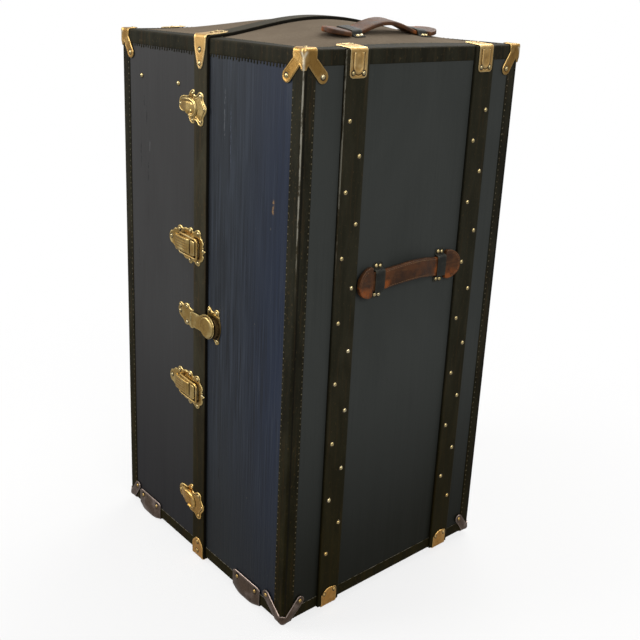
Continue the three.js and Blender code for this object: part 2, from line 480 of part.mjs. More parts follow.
// ---------------------------------------------------------------- fittings inside
{
  const x0 = WALL + 0.4, x1 = 238, y0 = WALL + 0.4, y1 = D - WALL - 0.4, z0 = CAB_Z0, z1 = CAB_Z1;
  const pitch = (z1 - z0 - BOARD) / DRAWERS;
  let cab = block(x0, x1, y0, y1, z0, z1);
  for (let k = 0; k < DRAWERS; k++)
    cab = cab.subtract(block(x0 + BOARD, x1 + 10, y0 + BOARD, y1 - BOARD, z0 + BOARD + k * pitch, z0 + (k + 1) * pitch));
  add('drawer_cabinet', cab, M.wood);
  for (let k = 0; k < DRAWERS; k++) {
    const a = z0 + BOARD + k * pitch + 1, b = z0 + (k + 1) * pitch - 4;
    const ya = y0 + BOARD + 2, yb = y1 - BOARD - 2, xb = x0 + BOARD + 3, xf = 237;
    const tray = block(xb, xf, ya, yb, a, b).subtract(block(xb + 6, xf - 8, ya + 6, yb - 6, a + 5, b + 10));
    // leather tab pull let into the drawer front
    const pull = plate('right', disc(D / 2, (a + b) / 2, 15, 16), xf - W - 0.5, xf - W + 8, 1.5);
    add(`drawer_${k + 1}`, tray.add(pull), M.lining);
  }
  // clothes rail between the front and rear walls of the right half
  const g = new THREE.CylinderGeometry(9, 9, D - 2 * WALL - 0.8, 16);
  g.translate(385, D / 2, 935);
  add('hanging_rail', solid(g), M.brass);
}

export default group;
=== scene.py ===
import bpy
import math
import random
import numpy as np
from mathutils import Vector, Matrix
from mathutils.geometry import delaunay_2d_cdt


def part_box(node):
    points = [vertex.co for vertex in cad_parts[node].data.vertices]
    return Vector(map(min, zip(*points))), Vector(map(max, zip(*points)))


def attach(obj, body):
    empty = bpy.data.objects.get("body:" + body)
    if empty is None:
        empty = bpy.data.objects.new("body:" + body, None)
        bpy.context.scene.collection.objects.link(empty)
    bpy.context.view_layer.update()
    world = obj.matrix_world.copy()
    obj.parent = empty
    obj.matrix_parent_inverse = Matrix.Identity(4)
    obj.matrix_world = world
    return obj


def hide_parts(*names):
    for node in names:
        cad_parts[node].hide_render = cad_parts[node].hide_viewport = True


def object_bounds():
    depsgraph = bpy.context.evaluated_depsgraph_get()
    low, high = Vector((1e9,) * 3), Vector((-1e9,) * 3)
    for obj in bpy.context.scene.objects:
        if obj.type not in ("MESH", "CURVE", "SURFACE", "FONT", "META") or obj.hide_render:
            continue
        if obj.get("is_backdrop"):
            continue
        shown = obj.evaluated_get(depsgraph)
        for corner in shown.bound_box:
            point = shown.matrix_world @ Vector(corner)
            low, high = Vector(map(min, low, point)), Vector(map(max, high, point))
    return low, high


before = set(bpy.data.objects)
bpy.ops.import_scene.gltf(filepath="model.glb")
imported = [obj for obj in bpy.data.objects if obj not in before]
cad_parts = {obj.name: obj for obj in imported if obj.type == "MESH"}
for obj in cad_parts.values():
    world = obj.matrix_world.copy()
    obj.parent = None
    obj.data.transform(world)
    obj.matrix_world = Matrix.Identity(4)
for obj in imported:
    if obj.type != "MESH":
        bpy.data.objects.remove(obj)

cad_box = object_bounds()
rng = random.Random(4261)

# ------------------------------------------------------------------ the frame
# Working frame in mm: origin at the lower front left corner of the closed case,
# x across the lock face, y towards the hinge side, z up.
lo_l, hi_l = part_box("left_shell")
lo_r, hi_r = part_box("right_shell")
ORG = np.array(lo_l)
W = round((hi_r[0] - lo_l[0]) * 1000, 1)
D = round((hi_l[1] - lo_l[1]) * 1000, 1)
SEAM = round((lo_r[0] - lo_l[0]) * 1000, 1)
H = round((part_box("left_slat_front")[1][2] - lo_l[2]) * 1000, 1)
FLOOR = -ORG[2] * 1000
CROWN = 32.6
STRIP = (SEAM + 0.3, SEAM + 38.8)


def mm(node):
    a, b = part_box(node)
    return (np.array(a) - ORG) * 1000, (np.array(b) - ORG) * 1000


def crown(x, y):
    sx = np.sin(np.pi * np.clip(x / W, 0, 1))
    sy = np.sin(np.pi * np.clip(y / D, 0, 1))
    return CROWN * sx * np.maximum(sy, 0) ** 1.5


FMAP = {
    "F": lambda a, b, c: np.stack([a, -c, b], 1),
    "R": lambda a, b, c: np.stack([W + c, a, b], 1),
    "L": lambda a, b, c: np.stack([-c, a, b], 1),
    "B": lambda a, b, c: np.stack([a, D + c, b], 1),
    "T": lambda a, b, c: np.stack([a, b, H + crown(a, b) + c], 1),
    "D": lambda a, b, c: np.stack([a, b, -c], 1),
}
FN = {"F": (0, -1, 0), "R": (1, 0, 0), "L": (-1, 0, 0), "B": (0, 1, 0), "T": (0, 0, 1), "D": (0, 0, -1)}


def at(face, a, b, c=0.0):
    return FMAP[face](np.array([float(a)]), np.array([float(b)]), np.array([float(c)]))[0]


def top_normal(x, y):
    e = 1.0
    dx = (crown(x + e, y) - crown(x - e, y)) / (2 * e)
    dy = (crown(x, y + e) - crown(x, y - e)) / (2 * e)
    n = np.array([-dx, -dy, 1.0])
    return n / np.linalg.norm(n)


# ------------------------------------------------------------------ mesh tools
PIECES = []


class Part:
    def __init__(self):
        self.v, self.f, self.m, self.n = [], [], [], 0

    def add(self, v, f, m=0):
        v = np.asarray(v, float).reshape(-1, 3)
        self.v.append(v)
        self.f += [tuple(int(i) + self.n for i in q) for q in f]
        self.m += [m] * len(f) if isinstance(m, int) else list(m)
        self.n += len(v)

    def mirror(self, mx=False, my=False):
        q = Part()
        v = np.concatenate(self.v)
        if mx:
            v = v * [-1, 1, 1] + [W, 0, 0]
        if my:
            v = v * [1, -1, 1] + [0, D, 0]
        q.add(v, self.f, self.m)
        return q

    def build(self, name, body, slot, mats, angle=38, replaces=(), curv=0.0, marks=None, soil=None):
        co = np.concatenate(self.v) / 1000 + ORG
        me = bpy.data.meshes.new(name)
        me.from_pydata(co.tolist(), [], self.f)
        me.polygons.foreach_set("material_index", self.m)
        for m in mats:
            me.materials.append(m)
        import bmesh
        bm = bmesh.new()
        bm.from_mesh(me)
        bmesh.ops.recalc_face_normals(bm, faces=bm.faces)
        bm.to_mesh(me)
        bm.free()
        me.polygons.foreach_set("use_smooth", [True] * len(me.polygons))
        me.set_sharp_from_angle(angle=math.radians(angle))
        if curv:
            edge_marks(me, curv)
        # marks overrides the pale values (wear with painted highlight); the callback below adds to the dark values
        # (dirt with painted shade)
        if marks:
            a = me.attributes.get("worn") or me.attributes.new("worn", "FLOAT", "POINT")
            a.data.foreach_set("value", np.clip(marks(np.concatenate(self.v)), 0, 1).astype(np.float32))
        if soil:
            a = me.attributes.get("dirt") or me.attributes.new("dirt", "FLOAT", "POINT")
            old = np.zeros(len(me.vertices), np.float32)
            a.data.foreach_get("value", old)
            a.data.foreach_set("value", np.clip(old + soil(np.concatenate(self.v)), 0, 1).astype(np.float32))
        ob = bpy.data.objects.new(name, me)
        bpy.context.scene.collection.objects.link(ob)
        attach(ob, body)
        if replaces:
            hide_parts(*replaces)
        PIECES.append(ob)
        return ob


def edge_marks(me, k):
    """Two point attributes: one high on outward bends, for pale wear with painted highlight, and one high in hollows,
    for dirt with painted shade.
    """
    n = len(me.vertices)
    co = np.zeros(n * 3)
    me.vertices.foreach_get("co", co)
    co = co.reshape(-1, 3)
    no = np.zeros(n * 3)
    me.vertices.foreach_get("normal", no)
    no = no.reshape(-1, 3)
    ed = np.zeros(len(me.edges) * 2, dtype=np.int64)
    me.edges.foreach_get("vertices", ed)
    ed = ed.reshape(-1, 2)
    s = np.zeros((n, 3))
    c = np.zeros(n)
    ln = np.zeros(n)
    d = np.linalg.norm(co[ed[:, 0]] - co[ed[:, 1]], axis=1)
    for i, j in ((0, 1), (1, 0)):
        np.add.at(s, ed[:, i], (co[ed[:, j]] - co[ed[:, i]]) / np.maximum(d, 1e-7)[:, None])
        np.add.at(c, ed[:, i], 1)
        np.add.at(ln, ed[:, i], d)
    bend = -np.einsum("ij,ij->i", s / np.maximum(c, 1)[:, None], no) * k
    for name, val in (("worn", np.clip(bend, 0, 1)), ("dirt", np.clip(-bend, 0, 1))):
        a = me.attributes.new(name, "FLOAT", "POINT")
        a.data.foreach_set("value", val.astype(np.float32))


def closed_spline(pts, per=5):
    """Catmull-Rom curve through the points of a closed outline."""
    p = np.array(pts, float)
    n = len(p)
    out = []
    for i in range(n):
        a, b, c, d = p[i - 1], p[i], p[(i + 1) % n], p[(i + 2) % n]
        for k in range(per):
            t = k / per
            out.append(0.5 * ((2 * b) + (c - a) * t + (2 * a - 5 * b + 4 * c - d) * t * t + (3 * b - a - 3 * c + d) * t ** 3))
    return np.array(out)


def open_spline(pts, per=6):
    p = np.array(pts, float)
    q = np.vstack([2 * p[0] - p[1], p, 2 * p[-1] - p[-2]])
    out = []
    for i in range(1, len(q) - 2):
        a, b, c, d = q[i - 1], q[i], q[i + 1], q[i + 2]
        for k in range(per):
            t = k / per
            out.append(0.5 * ((2 * b) + (c - a) * t + (2 * a - 5 * b + 4 * c - d) * t * t + (3 * b - a - 3 * c + d) * t ** 3))
    out.append(p[-1])
    return np.array(out)


def circle(cx, cy, r, n=40, a0=0.0):
    t = a0 + np.arange(n) * 2 * np.pi / n
    return np.stack([cx + r * np.cos(t), cy + r * np.sin(t)], 1)


def resample(loop, pitch):
    out = []
    n = len(loop)
    for i in range(n):
        p, q = np.array(loop[i], float), np.array(loop[(i + 1) % n], float)
        k = max(1, int(math.ceil(np.linalg.norm(q - p) / pitch - 1e-6)))
        for j in range(k):
            out.append(p + (q - p) * j / k)
    return np.array(out)


def inside(P, loop):
    L = np.array(loop, float)
    x, y = P[:, 0], P[:, 1]
    hit = np.zeros(len(P), bool)
    j = len(L) - 1
    for i in range(len(L)):
        xi, yi, xj, yj = L[i, 0], L[i, 1], L[j, 0], L[j, 1]
        if yi != yj:
            c = ((yi > y) != (yj > y)) & (x < (xj - xi) * (y - yi) / (yj - yi) + xi)
            hit ^= c
        j = i
    return hit


def seg_dist(P, segs):
    best = np.full(len(P), 1e9)
    for a, b in segs:
        ab = b - a
        t = np.clip(((P - a) @ ab) / max(ab @ ab, 1e-12), 0, 1)
        d = np.linalg.norm(P - (a + t[:, None] * ab), axis=1)
        best = np.minimum(best, d)
    return best


def segments(loop):
    return [(np.array(loop[i], float), np.array(loop[(i + 1) % len(loop)], float)) for i in range(len(loop))]


def mesh2d(loop, pitch, holes=(), inset=0.55):
    """Even triangles inside an outline, with a ring of points close to the edge."""
    loops = [resample(loop, pitch)] + [resample(h, pitch) for h in holes]
    segs = [s for l in [loop, *holes] for s in segments(l)]
    verts, edges, base = [], [], 0
    for l in loops:
        verts.append(l)
        edges += [(base + i, base + (i + 1) % len(l)) for i in range(len(l))]
        base += len(l)

    def ok(P):
        r = inside(P, loop)
        for h in holes:
            r &= ~inside(P, h)
        return r

    ring = []
    for l in loops:
        t = np.roll(l, -1, 0) - np.roll(l, 1, 0)
        nn = np.stack([-t[:, 1], t[:, 0]], 1)
        nn /= np.maximum(np.linalg.norm(nn, axis=1), 1e-9)[:, None]
        for s in (1, -1):
            q = l + nn * inset * s
            q = q[ok(q)]
            if len(q):
                ring.append(q[seg_dist(q, segs) > inset * 0.8])
    ring = np.concatenate(ring) if ring else np.zeros((0, 2))
    L = np.array(loop, float)
    x0, y0 = L.min(0)
    x1, y1 = L.max(0)
    g = []
    row = 0
    y = y0 + pitch * 0.4
    while y < y1:
        xs = np.arange(x0 + (0.5 * pitch if row % 2 else 0.05), x1, pitch)
        g.append(np.stack([xs, np.full(len(xs), y)], 1))
        y += pitch * 0.87
        row += 1
    g = np.concatenate(g)
    g = g[ok(g)]
    g = g[seg_dist(g, segs) > inset + 0.45 * pitch]
    P = np.concatenate(verts + [ring, g])
    res = delaunay_2d_cdt([Vector(p) for p in P], edges, [], 0, 1e-4)
    V = np.array([tuple(v) for v in res[0]])
    T = [tuple(f) for f in res[2]]
    c = np.array([V[list(t)].mean(0) for t in T])
    keep = ok(c)
    T = [t for t, k in zip(T, keep) if k]
    used = sorted(set(i for t in T for i in t))
    remap = {o: i for i, o in enumerate(used)}
    return V[used], [tuple(remap[i] for i in t) for t in T], segs


def rim(T):
    """Boundary edges of a triangle list, directed as in their triangle."""
    seen = {}
    for t in T:
        for k in range(len(t)):
            a, b = t[k], t[(k + 1) % len(t)]
            seen[(a, b)] = seen.get((a, b), 0) + 1
    return [(a, b) for (a, b) in seen if (b, a) not in seen]


def edge_round(d, soft):
    e = np.clip(d / soft, 0, 1)
    return 0.4 + 0.6 * np.sqrt(np.maximum(0, 1 - (1 - e) ** 2))


def relief(part, face, loop, top, base=0.05, pitch=1.1, mat=0, holes=(), soft=0.7, place=None):
    """A pressed plate: outline on a face, with its height over the panel given by top."""
    V, T, segs = mesh2d(loop, pitch, holes)
    d = seg_dist(V, segs)
    a, b = V[:, 0], V[:, 1]
    h = top(a, b, d) if callable(top) else np.full(len(V), float(top))
    lo = base(a, b) if callable(base) else np.full(len(V), float(base))
    h = lo + (h - lo) * edge_round(d, soft)
    put = place or FMAP[face]
    n = len(V)
    f = list(T) + [tuple(reversed([i + n for i in t])) for t in T]
    f += [(b2, a2, a2 + n, b2 + n) for a2, b2 in rim(T)]
    part.add(np.concatenate([put(a, b, h), put(a, b, lo)]), f, mat)


class Wrap:
    """The case grown by a different distance on each side, with rounded edges."""

    def __init__(self, f=0, b=0, l=0, r=0, t=0, d=0, rad=3.0):
        self.lo = np.array([-l, -f, -d], float)
        self.hi = np.array([W + r, D + b, H + t], float)
        self.rad = rad

    def lims(self, face):
        lo, hi = self.lo, self.hi
        if face in "FB":
            return lo[0], hi[0], lo[2], hi[2]
        if face in "RL":
            return lo[1], hi[1], lo[2], hi[2]
        return lo[0], hi[0], lo[1], hi[1]

    def sharp(self, face, a, b):
        lo, hi = self.lo, self.hi
        k = np.ones_like(a)
        return {
            "F": lambda: np.stack([a, k * lo[1], b], 1), "B": lambda: np.stack([a, k * hi[1], b], 1),
            "R": lambda: np.stack([k * hi[0], a, b], 1), "L": lambda: np.stack([k * lo[0], a, b], 1),
            "T": lambda: np.stack([a, b, k * hi[2]], 1), "D": lambda: np.stack([a, b, k * lo[2]], 1),
        }[face]()

    def out(self, Q, h):
        C = np.clip(Q, self.lo + self.rad, self.hi - self.rad)
        n = Q - C
        L = np.maximum(np.linalg.norm(n, axis=1), 1e-9)
        P = C + n / L[:, None] * (self.rad + h)[:, None]
        P[:, 2] += np.where(Q[:, 2] > H / 2, crown(P[:, 0], P[:, 1]), 0)
        return P


def wrap(part, wr, regions, top, inner=0.05, pitch=1.2, mat=0, soft=0.7):
    """Sheet metal folded over the case's edges: one outline on each face, joined at the folds."""
    key, Q, Hh, T = {}, [], [], []
    for face, loop in regions.items():
        V, t2, segs = mesh2d(loop, pitch)
        a0, a1, b0, b1 = wr.lims(face)
        free = []
        for p, q in segs:
            fold = any(abs(p[0] - A) < 1e-6 and abs(q[0] - A) < 1e-6 for A in (a0, a1)) or \
                any(abs(p[1] - B) < 1e-6 and abs(q[1] - B) < 1e-6 for B in (b0, b1))
            if not fold:
                free.append((p, q))
        d = seg_dist(V, free) if free else np.full(len(V), 99.0)
        q3 = wr.sharp(face, V[:, 0], V[:, 1])
        h = top(face, V[:, 0], V[:, 1], d)
        h = inner + (h - inner) * edge_round(d, soft)
        ids = []
        for i in range(len(V)):
            k = tuple(np.round(q3[i], 2))
            if k not in key:
                key[k] = len(Q)
                Q.append(q3[i])
                Hh.append(h[i])
            ids.append(key[k])
        T += [tuple(ids[i] for i in t) if face in "FRT" else tuple(ids[i] for i in t) for t in t2]
    Q, Hh = np.array(Q), np.array(Hh)
    # turn every triangle the same way round, by its side of the box
    c = (wr.lo + wr.hi) / 2
    half = (wr.hi - wr.lo) / 2
    T2 = []
    for t in T:
        if len(set(t)) < 3:
            continue
        p = Q[list(t)]
        n = np.cross(p[1] - p[0], p[2] - p[0])
        m = (p.mean(0) - c) / half
        ax = int(np.argmax(np.abs(m)))
        s = np.zeros(3)
        s[ax] = np.sign(m[ax])
        T2.append(t if n @ s > 0 else (t[0], t[2], t[1]))
    n = len(Q)
    outer, inn = wr.out(Q, Hh), wr.out(Q, np.full(n, inner))
    f = list(T2) + [tuple(reversed([i + n for i in t])) for t in T2]
    f += [(b2, a2, a2 + n, b2 + n) for a2, b2 in rim(T2)]
    part.add(np.concatenate([outer, inn]), f, mat)


def loft(part, rings, mat=0, loop=False, caps=True, ring_mats=None):
    """Closed body through rings of the same number of points."""
    R = np.array(rings, float)
    K, N = R.shape[:2]
    f, m = [], []
    for k in range(K if loop else K - 1):
        k2 = (k + 1) % K
        for i in range(N):
            j = (i + 1) % N
            f.append((k * N + i, k * N + j, k2 * N + j, k2 * N + i))
            m.append(ring_mats(k, i) if ring_mats else mat)
    if caps and not loop:
        f += [tuple(reversed(range(N))), tuple((K - 1) * N + i for i in range(N))]
        m += [ring_mats(-1, 0) if ring_mats else mat, ring_mats(K, 0) if ring_mats else mat]
    part.add(R.reshape(-1, 3), f, m)


def frame_of(n):
    n = np.array(n, float)
    n /= np.linalg.norm(n)
    u = np.cross(n, [0, 0, 1.0]) if abs(n[2]) < 0.9 else np.cross(n, [0, 1.0, 0])
    u /= np.linalg.norm(u)
    return u, np.cross(n, u), n


def lathe(part, P, N, prof, seg=20, mat=0, spin=0.0, squash=1.0, dark=0):
    """Turned shape on axis N at P: prof is (radius, height) from the base up, ending on the axis."""
    u, v, n = frame_of(N)
    P = np.array(P, float)
    pts, f = [], []
    for r, h in prof[:-1]:
        for k in range(seg):
            t = spin + 2 * math.pi * k / seg
            pts.append(P + n * h + r * (math.cos(t) * u + squash * math.sin(t) * v))
    pts.append(P + n * prof[-1][1])
    pts.append(P + n * prof[0][1])
    K = len(prof) - 1
    m = []
    for k in range(K - 1):
        for i in range(seg):
            j = (i + 1) % seg
            f.append((k * seg + i, k * seg + j, (k + 1) * seg + j, (k + 1) * seg + i))
            m.append(1 if k < dark else mat)
    tip, bot = K * seg, K * seg + 1
    for i in range(seg):
        j = (i + 1) % seg
        f.append(((K - 1) * seg + i, (K - 1) * seg + j, tip))
        f.append((j, i, bot))
        m += [mat, mat]
    part.add(pts, f, m)


def dome(part, P, N, r, h, seg=14, mat=0, sink=0.3):
    """Hammered round head, each a little out of true."""
    N = np.array(N, float)
    if r > 1.5:
        N = N + np.array([rng.uniform(-0.06, 0.06) for _ in range(3)])
        r = r * rng.uniform(0.96, 1.04)
    # the two collar rings take the second material: on nails and rivets a dark ring, grime with a painted shadow
    lathe(part, P, N, [(1.42 * r, -sink), (1.42 * r, 0.12), (r, 0.18), (r, 0.2 * h), (0.96 * r, 0.36 * h), (0.82 * r, 0.66 * h), (0.58 * r, 0.88 * h), (0.3 * r, 0.97 * h), (0, h)], seg, mat, rng.uniform(0, 1), dark=2)


def rivet(part, P, N, r=3.2, h=1.7, seg=14, mat=0):
    """Rivet: a low collar with a rounded head."""
    N = np.array(N, float) + np.array([rng.uniform(-0.05, 0.05) for _ in range(3)])
    # the two collar rings take the second material: on nails and rivets a dark ring, grime with a painted shadow
    lathe(part, P, N, [(r * 1.55, -0.3), (r * 1.55, 0.16), (r * 1.02, 0.24), (r, 0.3), (0.94 * r, 0.55 * h), (0.8 * r, 0.8 * h), (0.5 * r, 0.96 * h), (0, h)], seg, mat, rng.uniform(0, 1), dark=2)


def tube(part, path, r, seg=12, mat=0, up=(0, 1, 0)):
    p = np.array(path, float)
    rings = []
    for k in range(len(p)):
        a, b = p[max(0, k - 1)], p[min(len(p) - 1, k + 1)]
        t = (b - a) / np.linalg.norm(b - a)
        s = np.cross(t, up)
        s /= np.linalg.norm(s)
        n = np.cross(s, t)
        rr = r[k] if hasattr(r, "__len__") else r
        rings.append([p[k] + rr * (math.cos(w) * s + math.sin(w) * n) for w in np.arange(seg) * 2 * math.pi / seg])
    loft(part, rings, mat)


def rounded(x0, x1, y0, y1, r, n=4):
    """Corner-rounded rectangle, anticlockwise."""
    out = []
    for cx, cy, a in ((x1 - r, y1 - r, 0), (x0 + r, y1 - r, 90), (x0 + r, y0 + r, 180), (x1 - r, y0 + r, 270)):
        for k in range(n + 1):
            t = math.radians(a + 90 * k / n)
            out.append((cx + r * math.cos(t), cy + r * math.sin(t)))
    return np.array(out)


def box_piece(part, x0, x1, y0, y1, z0, z1, r=0.8, mat=0):
    """Block with rounded edges, lofted along z."""
    rings = []
    for z, ins in ((z0, r), (z0 + 0.3 * r, 0.3 * r), (z0 + r, 0), (z1 - r, 0), (z1 - 0.3 * r, 0.3 * r), (z1, r)):
        q = rounded(x0 + ins, x1 - ins, y0 + ins, y1 - ins, max(r - ins, 0.15 * r) + 0.05, 3)
        rings.append([(x, y, z) for x, y in q])
    loft(part, rings, mat)


# ------------------------------------------------------------------ materials
class Net:
    def __init__(self, name):
        self.m = bpy.data.materials.new(name)
        self.m.use_nodes = True
        self.t = self.m.node_tree
        self.t.nodes.clear()
        self.out = self.t.nodes.new("ShaderNodeOutputMaterial")
        self.obj = self.t.nodes.new("ShaderNodeTexCoord").outputs["Object"]

    def put(self, sock, v):
        if v is None:
            return
        if isinstance(v, bpy.types.NodeSocket):
            self.t.links.new(v, sock)
        elif hasattr(v, "__len__") and len(v) == 3 and sock.type == "RGBA":
            sock.default_value = (*v, 1)
        else:
            sock.default_value = v

    def scale(self, v, s=(1, 1, 1), loc=(0, 0, 0), rot=(0, 0, 0)):
        n = self.t.nodes.new("ShaderNodeMapping")
        n.inputs["Scale"].default_value = s
        n.inputs["Location"].default_value = loc
        n.inputs["Rotation"].default_value = rot
        self.put(n.inputs["Vector"], v)
        return n.outputs[0]

    def noise(self, v, s, detail=4, rough=0.55, dist=0.0):
        n = self.t.nodes.new("ShaderNodeTexNoise")
        n.inputs["Scale"].default_value = s
        n.inputs["Detail"].default_value = detail
        n.inputs["Roughness"].default_value = rough
        n.inputs["Distortion"].default_value = dist
        self.put(n.inputs["Vector"], v)
        return n.outputs["Fac"]

    def voro(self, v, s, feature="F1"):
        n = self.t.nodes.new("ShaderNodeTexVoronoi")
        n.feature = feature
        n.inputs["Scale"].default_value = s
        self.put(n.inputs["Vector"], v)
        return n.outputs["Distance"]

    def wave(self, v, s, dist=0.0, detail=2, dscale=1.0, direction="X", profile="SIN"):
        n = self.t.nodes.new("ShaderNodeTexWave")
        n.bands_direction = direction
        n.wave_profile = profile
        n.inputs["Scale"].default_value = s
        n.inputs["Distortion"].default_value = dist
        n.inputs["Detail"].default_value = detail
        n.inputs["Detail Scale"].default_value = dscale
        self.put(n.inputs["Vector"], v)
        return n.outputs["Fac"]

    def ramp(self, f, stops, interp="LINEAR"):
        n = self.t.nodes.new("ShaderNodeValToRGB")
        n.color_ramp.interpolation = interp
        e = n.color_ramp.elements
        while len(e) < len(stops):
            e.new(0.5)
        for el, (p, c) in zip(e, stops):
            el.position = p
            el.color = (*c, 1) if hasattr(c, "__len__") else (c, c, c, 1)
        self.put(n.inputs["Fac"], f)
        return n.outputs["Color"]

    def step(self, f, a, b):
        n = self.t.nodes.new("ShaderNodeMapRange")
        n.interpolation_type = "SMOOTHSTEP"
        n.inputs["From Min"].default_value = a
        n.inputs["From Max"].default_value = b
        self.put(n.inputs["Value"], f)
        return n.outputs["Result"]

    def mix(self, f, a, b, blend="MIX"):
        n = self.t.nodes.new("ShaderNodeMix")
        n.data_type = "RGBA"
        n.blend_type = blend
        n.clamp_factor = True
        self.put(n.inputs[0], f)
        self.put(n.inputs[6], a)
        self.put(n.inputs[7], b)
        return n.outputs[2]

    def math(self, op, a, b=None, c=None, clamp=False):
        n = self.t.nodes.new("ShaderNodeMath")
        n.operation = op
        n.use_clamp = clamp
        for i, v in enumerate((a, b, c)):
            self.put(n.inputs[i], v)
        return n.outputs[0]

    def add(self, a, b):
        return self.math("ADD", a, b)

    def mul(self, a, b):
        return self.math("MULTIPLY", a, b)

    def xyz(self, v=None):
        n = self.t.nodes.new("ShaderNodeSeparateXYZ")
        self.put(n.inputs[0], v or self.obj)
        return n.outputs

    def attr(self, name):
        n = self.t.nodes.new("ShaderNodeAttribute")
        n.attribute_name = name
        return n.outputs["Fac"]

    def bump(self, h, strength=0.5, dist=0.001, under=None):
        n = self.t.nodes.new("ShaderNodeBump")
        n.inputs["Strength"].default_value = strength
        n.inputs["Distance"].default_value = dist
        self.put(n.inputs["Height"], h)
        if under is not None:
            self.put(n.inputs["Normal"], under)
        return n.outputs[0]

    def finish(self, color, rough, metal=0.0, normal=None, spec=0.5, coat=0.0, coat_rough=0.3, sheen=0.0):
        p = self.t.nodes.new("ShaderNodeBsdfPrincipled")
        self.put(p.inputs["Base Color"], color)
        self.put(p.inputs["Roughness"], rough)
        self.put(p.inputs["Metallic"], metal)
        self.put(p.inputs["Specular IOR Level"], spec)
        self.put(p.inputs["Coat Weight"], coat)
        self.put(p.inputs["Coat Roughness"], coat_rough)
        self.put(p.inputs["Sheen Weight"], sheen)
        if normal is not None:
            self.put(p.inputs["Normal"], normal)
        self.t.links.new(p.outputs[0], self.out.inputs["Surface"])
        return self.m


def lin(*c):
    """8-bit display colour to linear."""
    out = []
    for v in c:
        v /= 255
        out.append(v / 12.92 if v <= 0.04045 else ((v + 0.055) / 1.055) ** 2.4)
    return tuple(out)


def cloth(name, base, light, dark, rib=0.5, streak=0.5, rough=0.5, spots=0.4, low=1.0, tint=None, fade=0.6, spec=0.2, scars=(), cast=0.86):
    """Painted cloth-covered plywood: fine upright grain, streaks, and scuffs."""
    n = Net(name)
    o = n.obj
    fine = n.noise(n.scale(o, (420, 420, 8)), 1.0, 2, 0.55, 0.25)
    ribs = n.noise(n.scale(o, (215, 215, 6)), 1.0, 1, 0.5, 0.3)
    patch = n.add(n.mul(n.step(n.noise(n.scale(o, (8, 8, 3.5), (6, 2, 9)), 1.0, 3, 0.6), 0.38, 0.6), 0.75 * rib), 0.25 * rib)
    patch = n.mul(patch, n.add(n.mul(n.step(n.xyz()[2], 0.12, 0.5), 0.65), 0.35))
    grain = n.noise(n.scale(o, (900, 900, 90)), 1.0, 2, 0.6)
    cloud = n.noise(n.scale(o, (4.2, 4.2, 2.2)), 1.0, 4, 0.6, 0.5)
    wide = n.noise(n.scale(o, (34, 34, 1.6), (3, 1, 5)), 1.0, 4, 0.6, 0.3)
    col = n.mix(n.mul(n.step(cloud, 0.32, 0.68), 0.6), base, dark)
    if tint:
        col = n.mix(n.mul(n.step(n.add(n.xyz()[0], n.mul(wide, 0.06)), 0.08, 0.29), 0.9), col, tint)
    col = n.mix(n.mul(n.step(wide, 0.45, 0.75), 0.14), col, light)
    col = n.mix(n.mul(n.step(ribs, 0.52, 0.64), n.mul(patch, 0.8)), col, light)
    col = n.mix(n.mul(n.step(ribs, 0.46, 0.34), n.mul(patch, 0.95)), col, tuple(0.75 * c for c in dark))
    col = n.mix(n.mul(n.step(fine, 0.56, 0.78), 0.5 * streak), col, light)
    col = n.mix(n.mul(n.step(fine, 0.46, 0.26), 0.5 * streak), col, dark)
    crack = n.noise(n.scale(o, (260, 260, 14), (9, 2, 4)), 1.0, 3, 0.6, 0.8)
    where = n.noise(n.scale(o, (9, 9, 4), (1, 8, 2)), 1.0, 3, 0.6)
    scar = n.mul(n.step(crack, 0.66, 0.74), n.step(where, 0.56, 0.66))
    col = n.mix(n.mul(scar, 0.85), col, tuple(0.3 * c for c in dark))
    for mx, mz, half, wide_, tone in scars:
        dx = n.math("ABSOLUTE", n.add(n.math("SUBTRACT", n.xyz()[0], (mx / 1000 + ORG[0])), n.mul(n.math("SUBTRACT", n.noise(n.scale(o, (1, 1, 60)), 1.0, 3, 0.7), 0.5), 0.008)))
        dz = n.math("ABSOLUTE", n.math("SUBTRACT", n.xyz()[2], mz / 1000 + ORG[2]))
        m = n.mul(n.step(dx, wide_ / 1000, 0.3 * wide_ / 1000), n.step(dz, half / 1000, 0.6 * half / 1000))
        m = n.mul(n.mul(m, n.step(n.xyz()[1], 0.05, -0.05)), n.step(n.noise(n.scale(o, (90, 90, 160)), 1.0, 3, 0.7), 0.42, 0.56))
        col = n.mix(n.mul(m, 0.8), col, tone)
    rub = n.noise(n.scale(o, (110, 110, 26), (5, 7, 1)), 1.0, 5, 0.75)
    col = n.mix(n.mul(n.step(rub, 0.69, 0.8), spots), col, tuple(1.8 * c for c in light))
    nick = n.voro(n.scale(o, (30, 30, 16)), 1.0)
    col = n.mix(n.mul(n.step(nick, 0.05, 0.02), 0.5 * spots), col, lin(140, 132, 112))
    # darker and warmer towards the bottom
    if low < 1:
        z = n.xyz()[2]
        warm = n.mix(1.0, col, (low, low * 0.98, low * cast), "MULTIPLY")
        col = n.mix(n.step(n.add(z, n.mul(cloud, 0.16)), fade, 0.1), col, warm)
    hgt = n.add(n.mul(ribs, n.mul(patch, 0.8)), n.add(n.mul(fine, 0.8 * streak), n.add(n.mul(grain, 0.15), n.mul(scar, -0.6))))
    bmp = n.bump(hgt, 0.55, 0.0011)
    ro = n.add(n.mul(n.step(wide, 0.3, 0.8), 0.12), n.add(n.mul(fine, 0.1), rough - 0.08))
    return n.finish(col, ro, 0.0, bmp, spec)


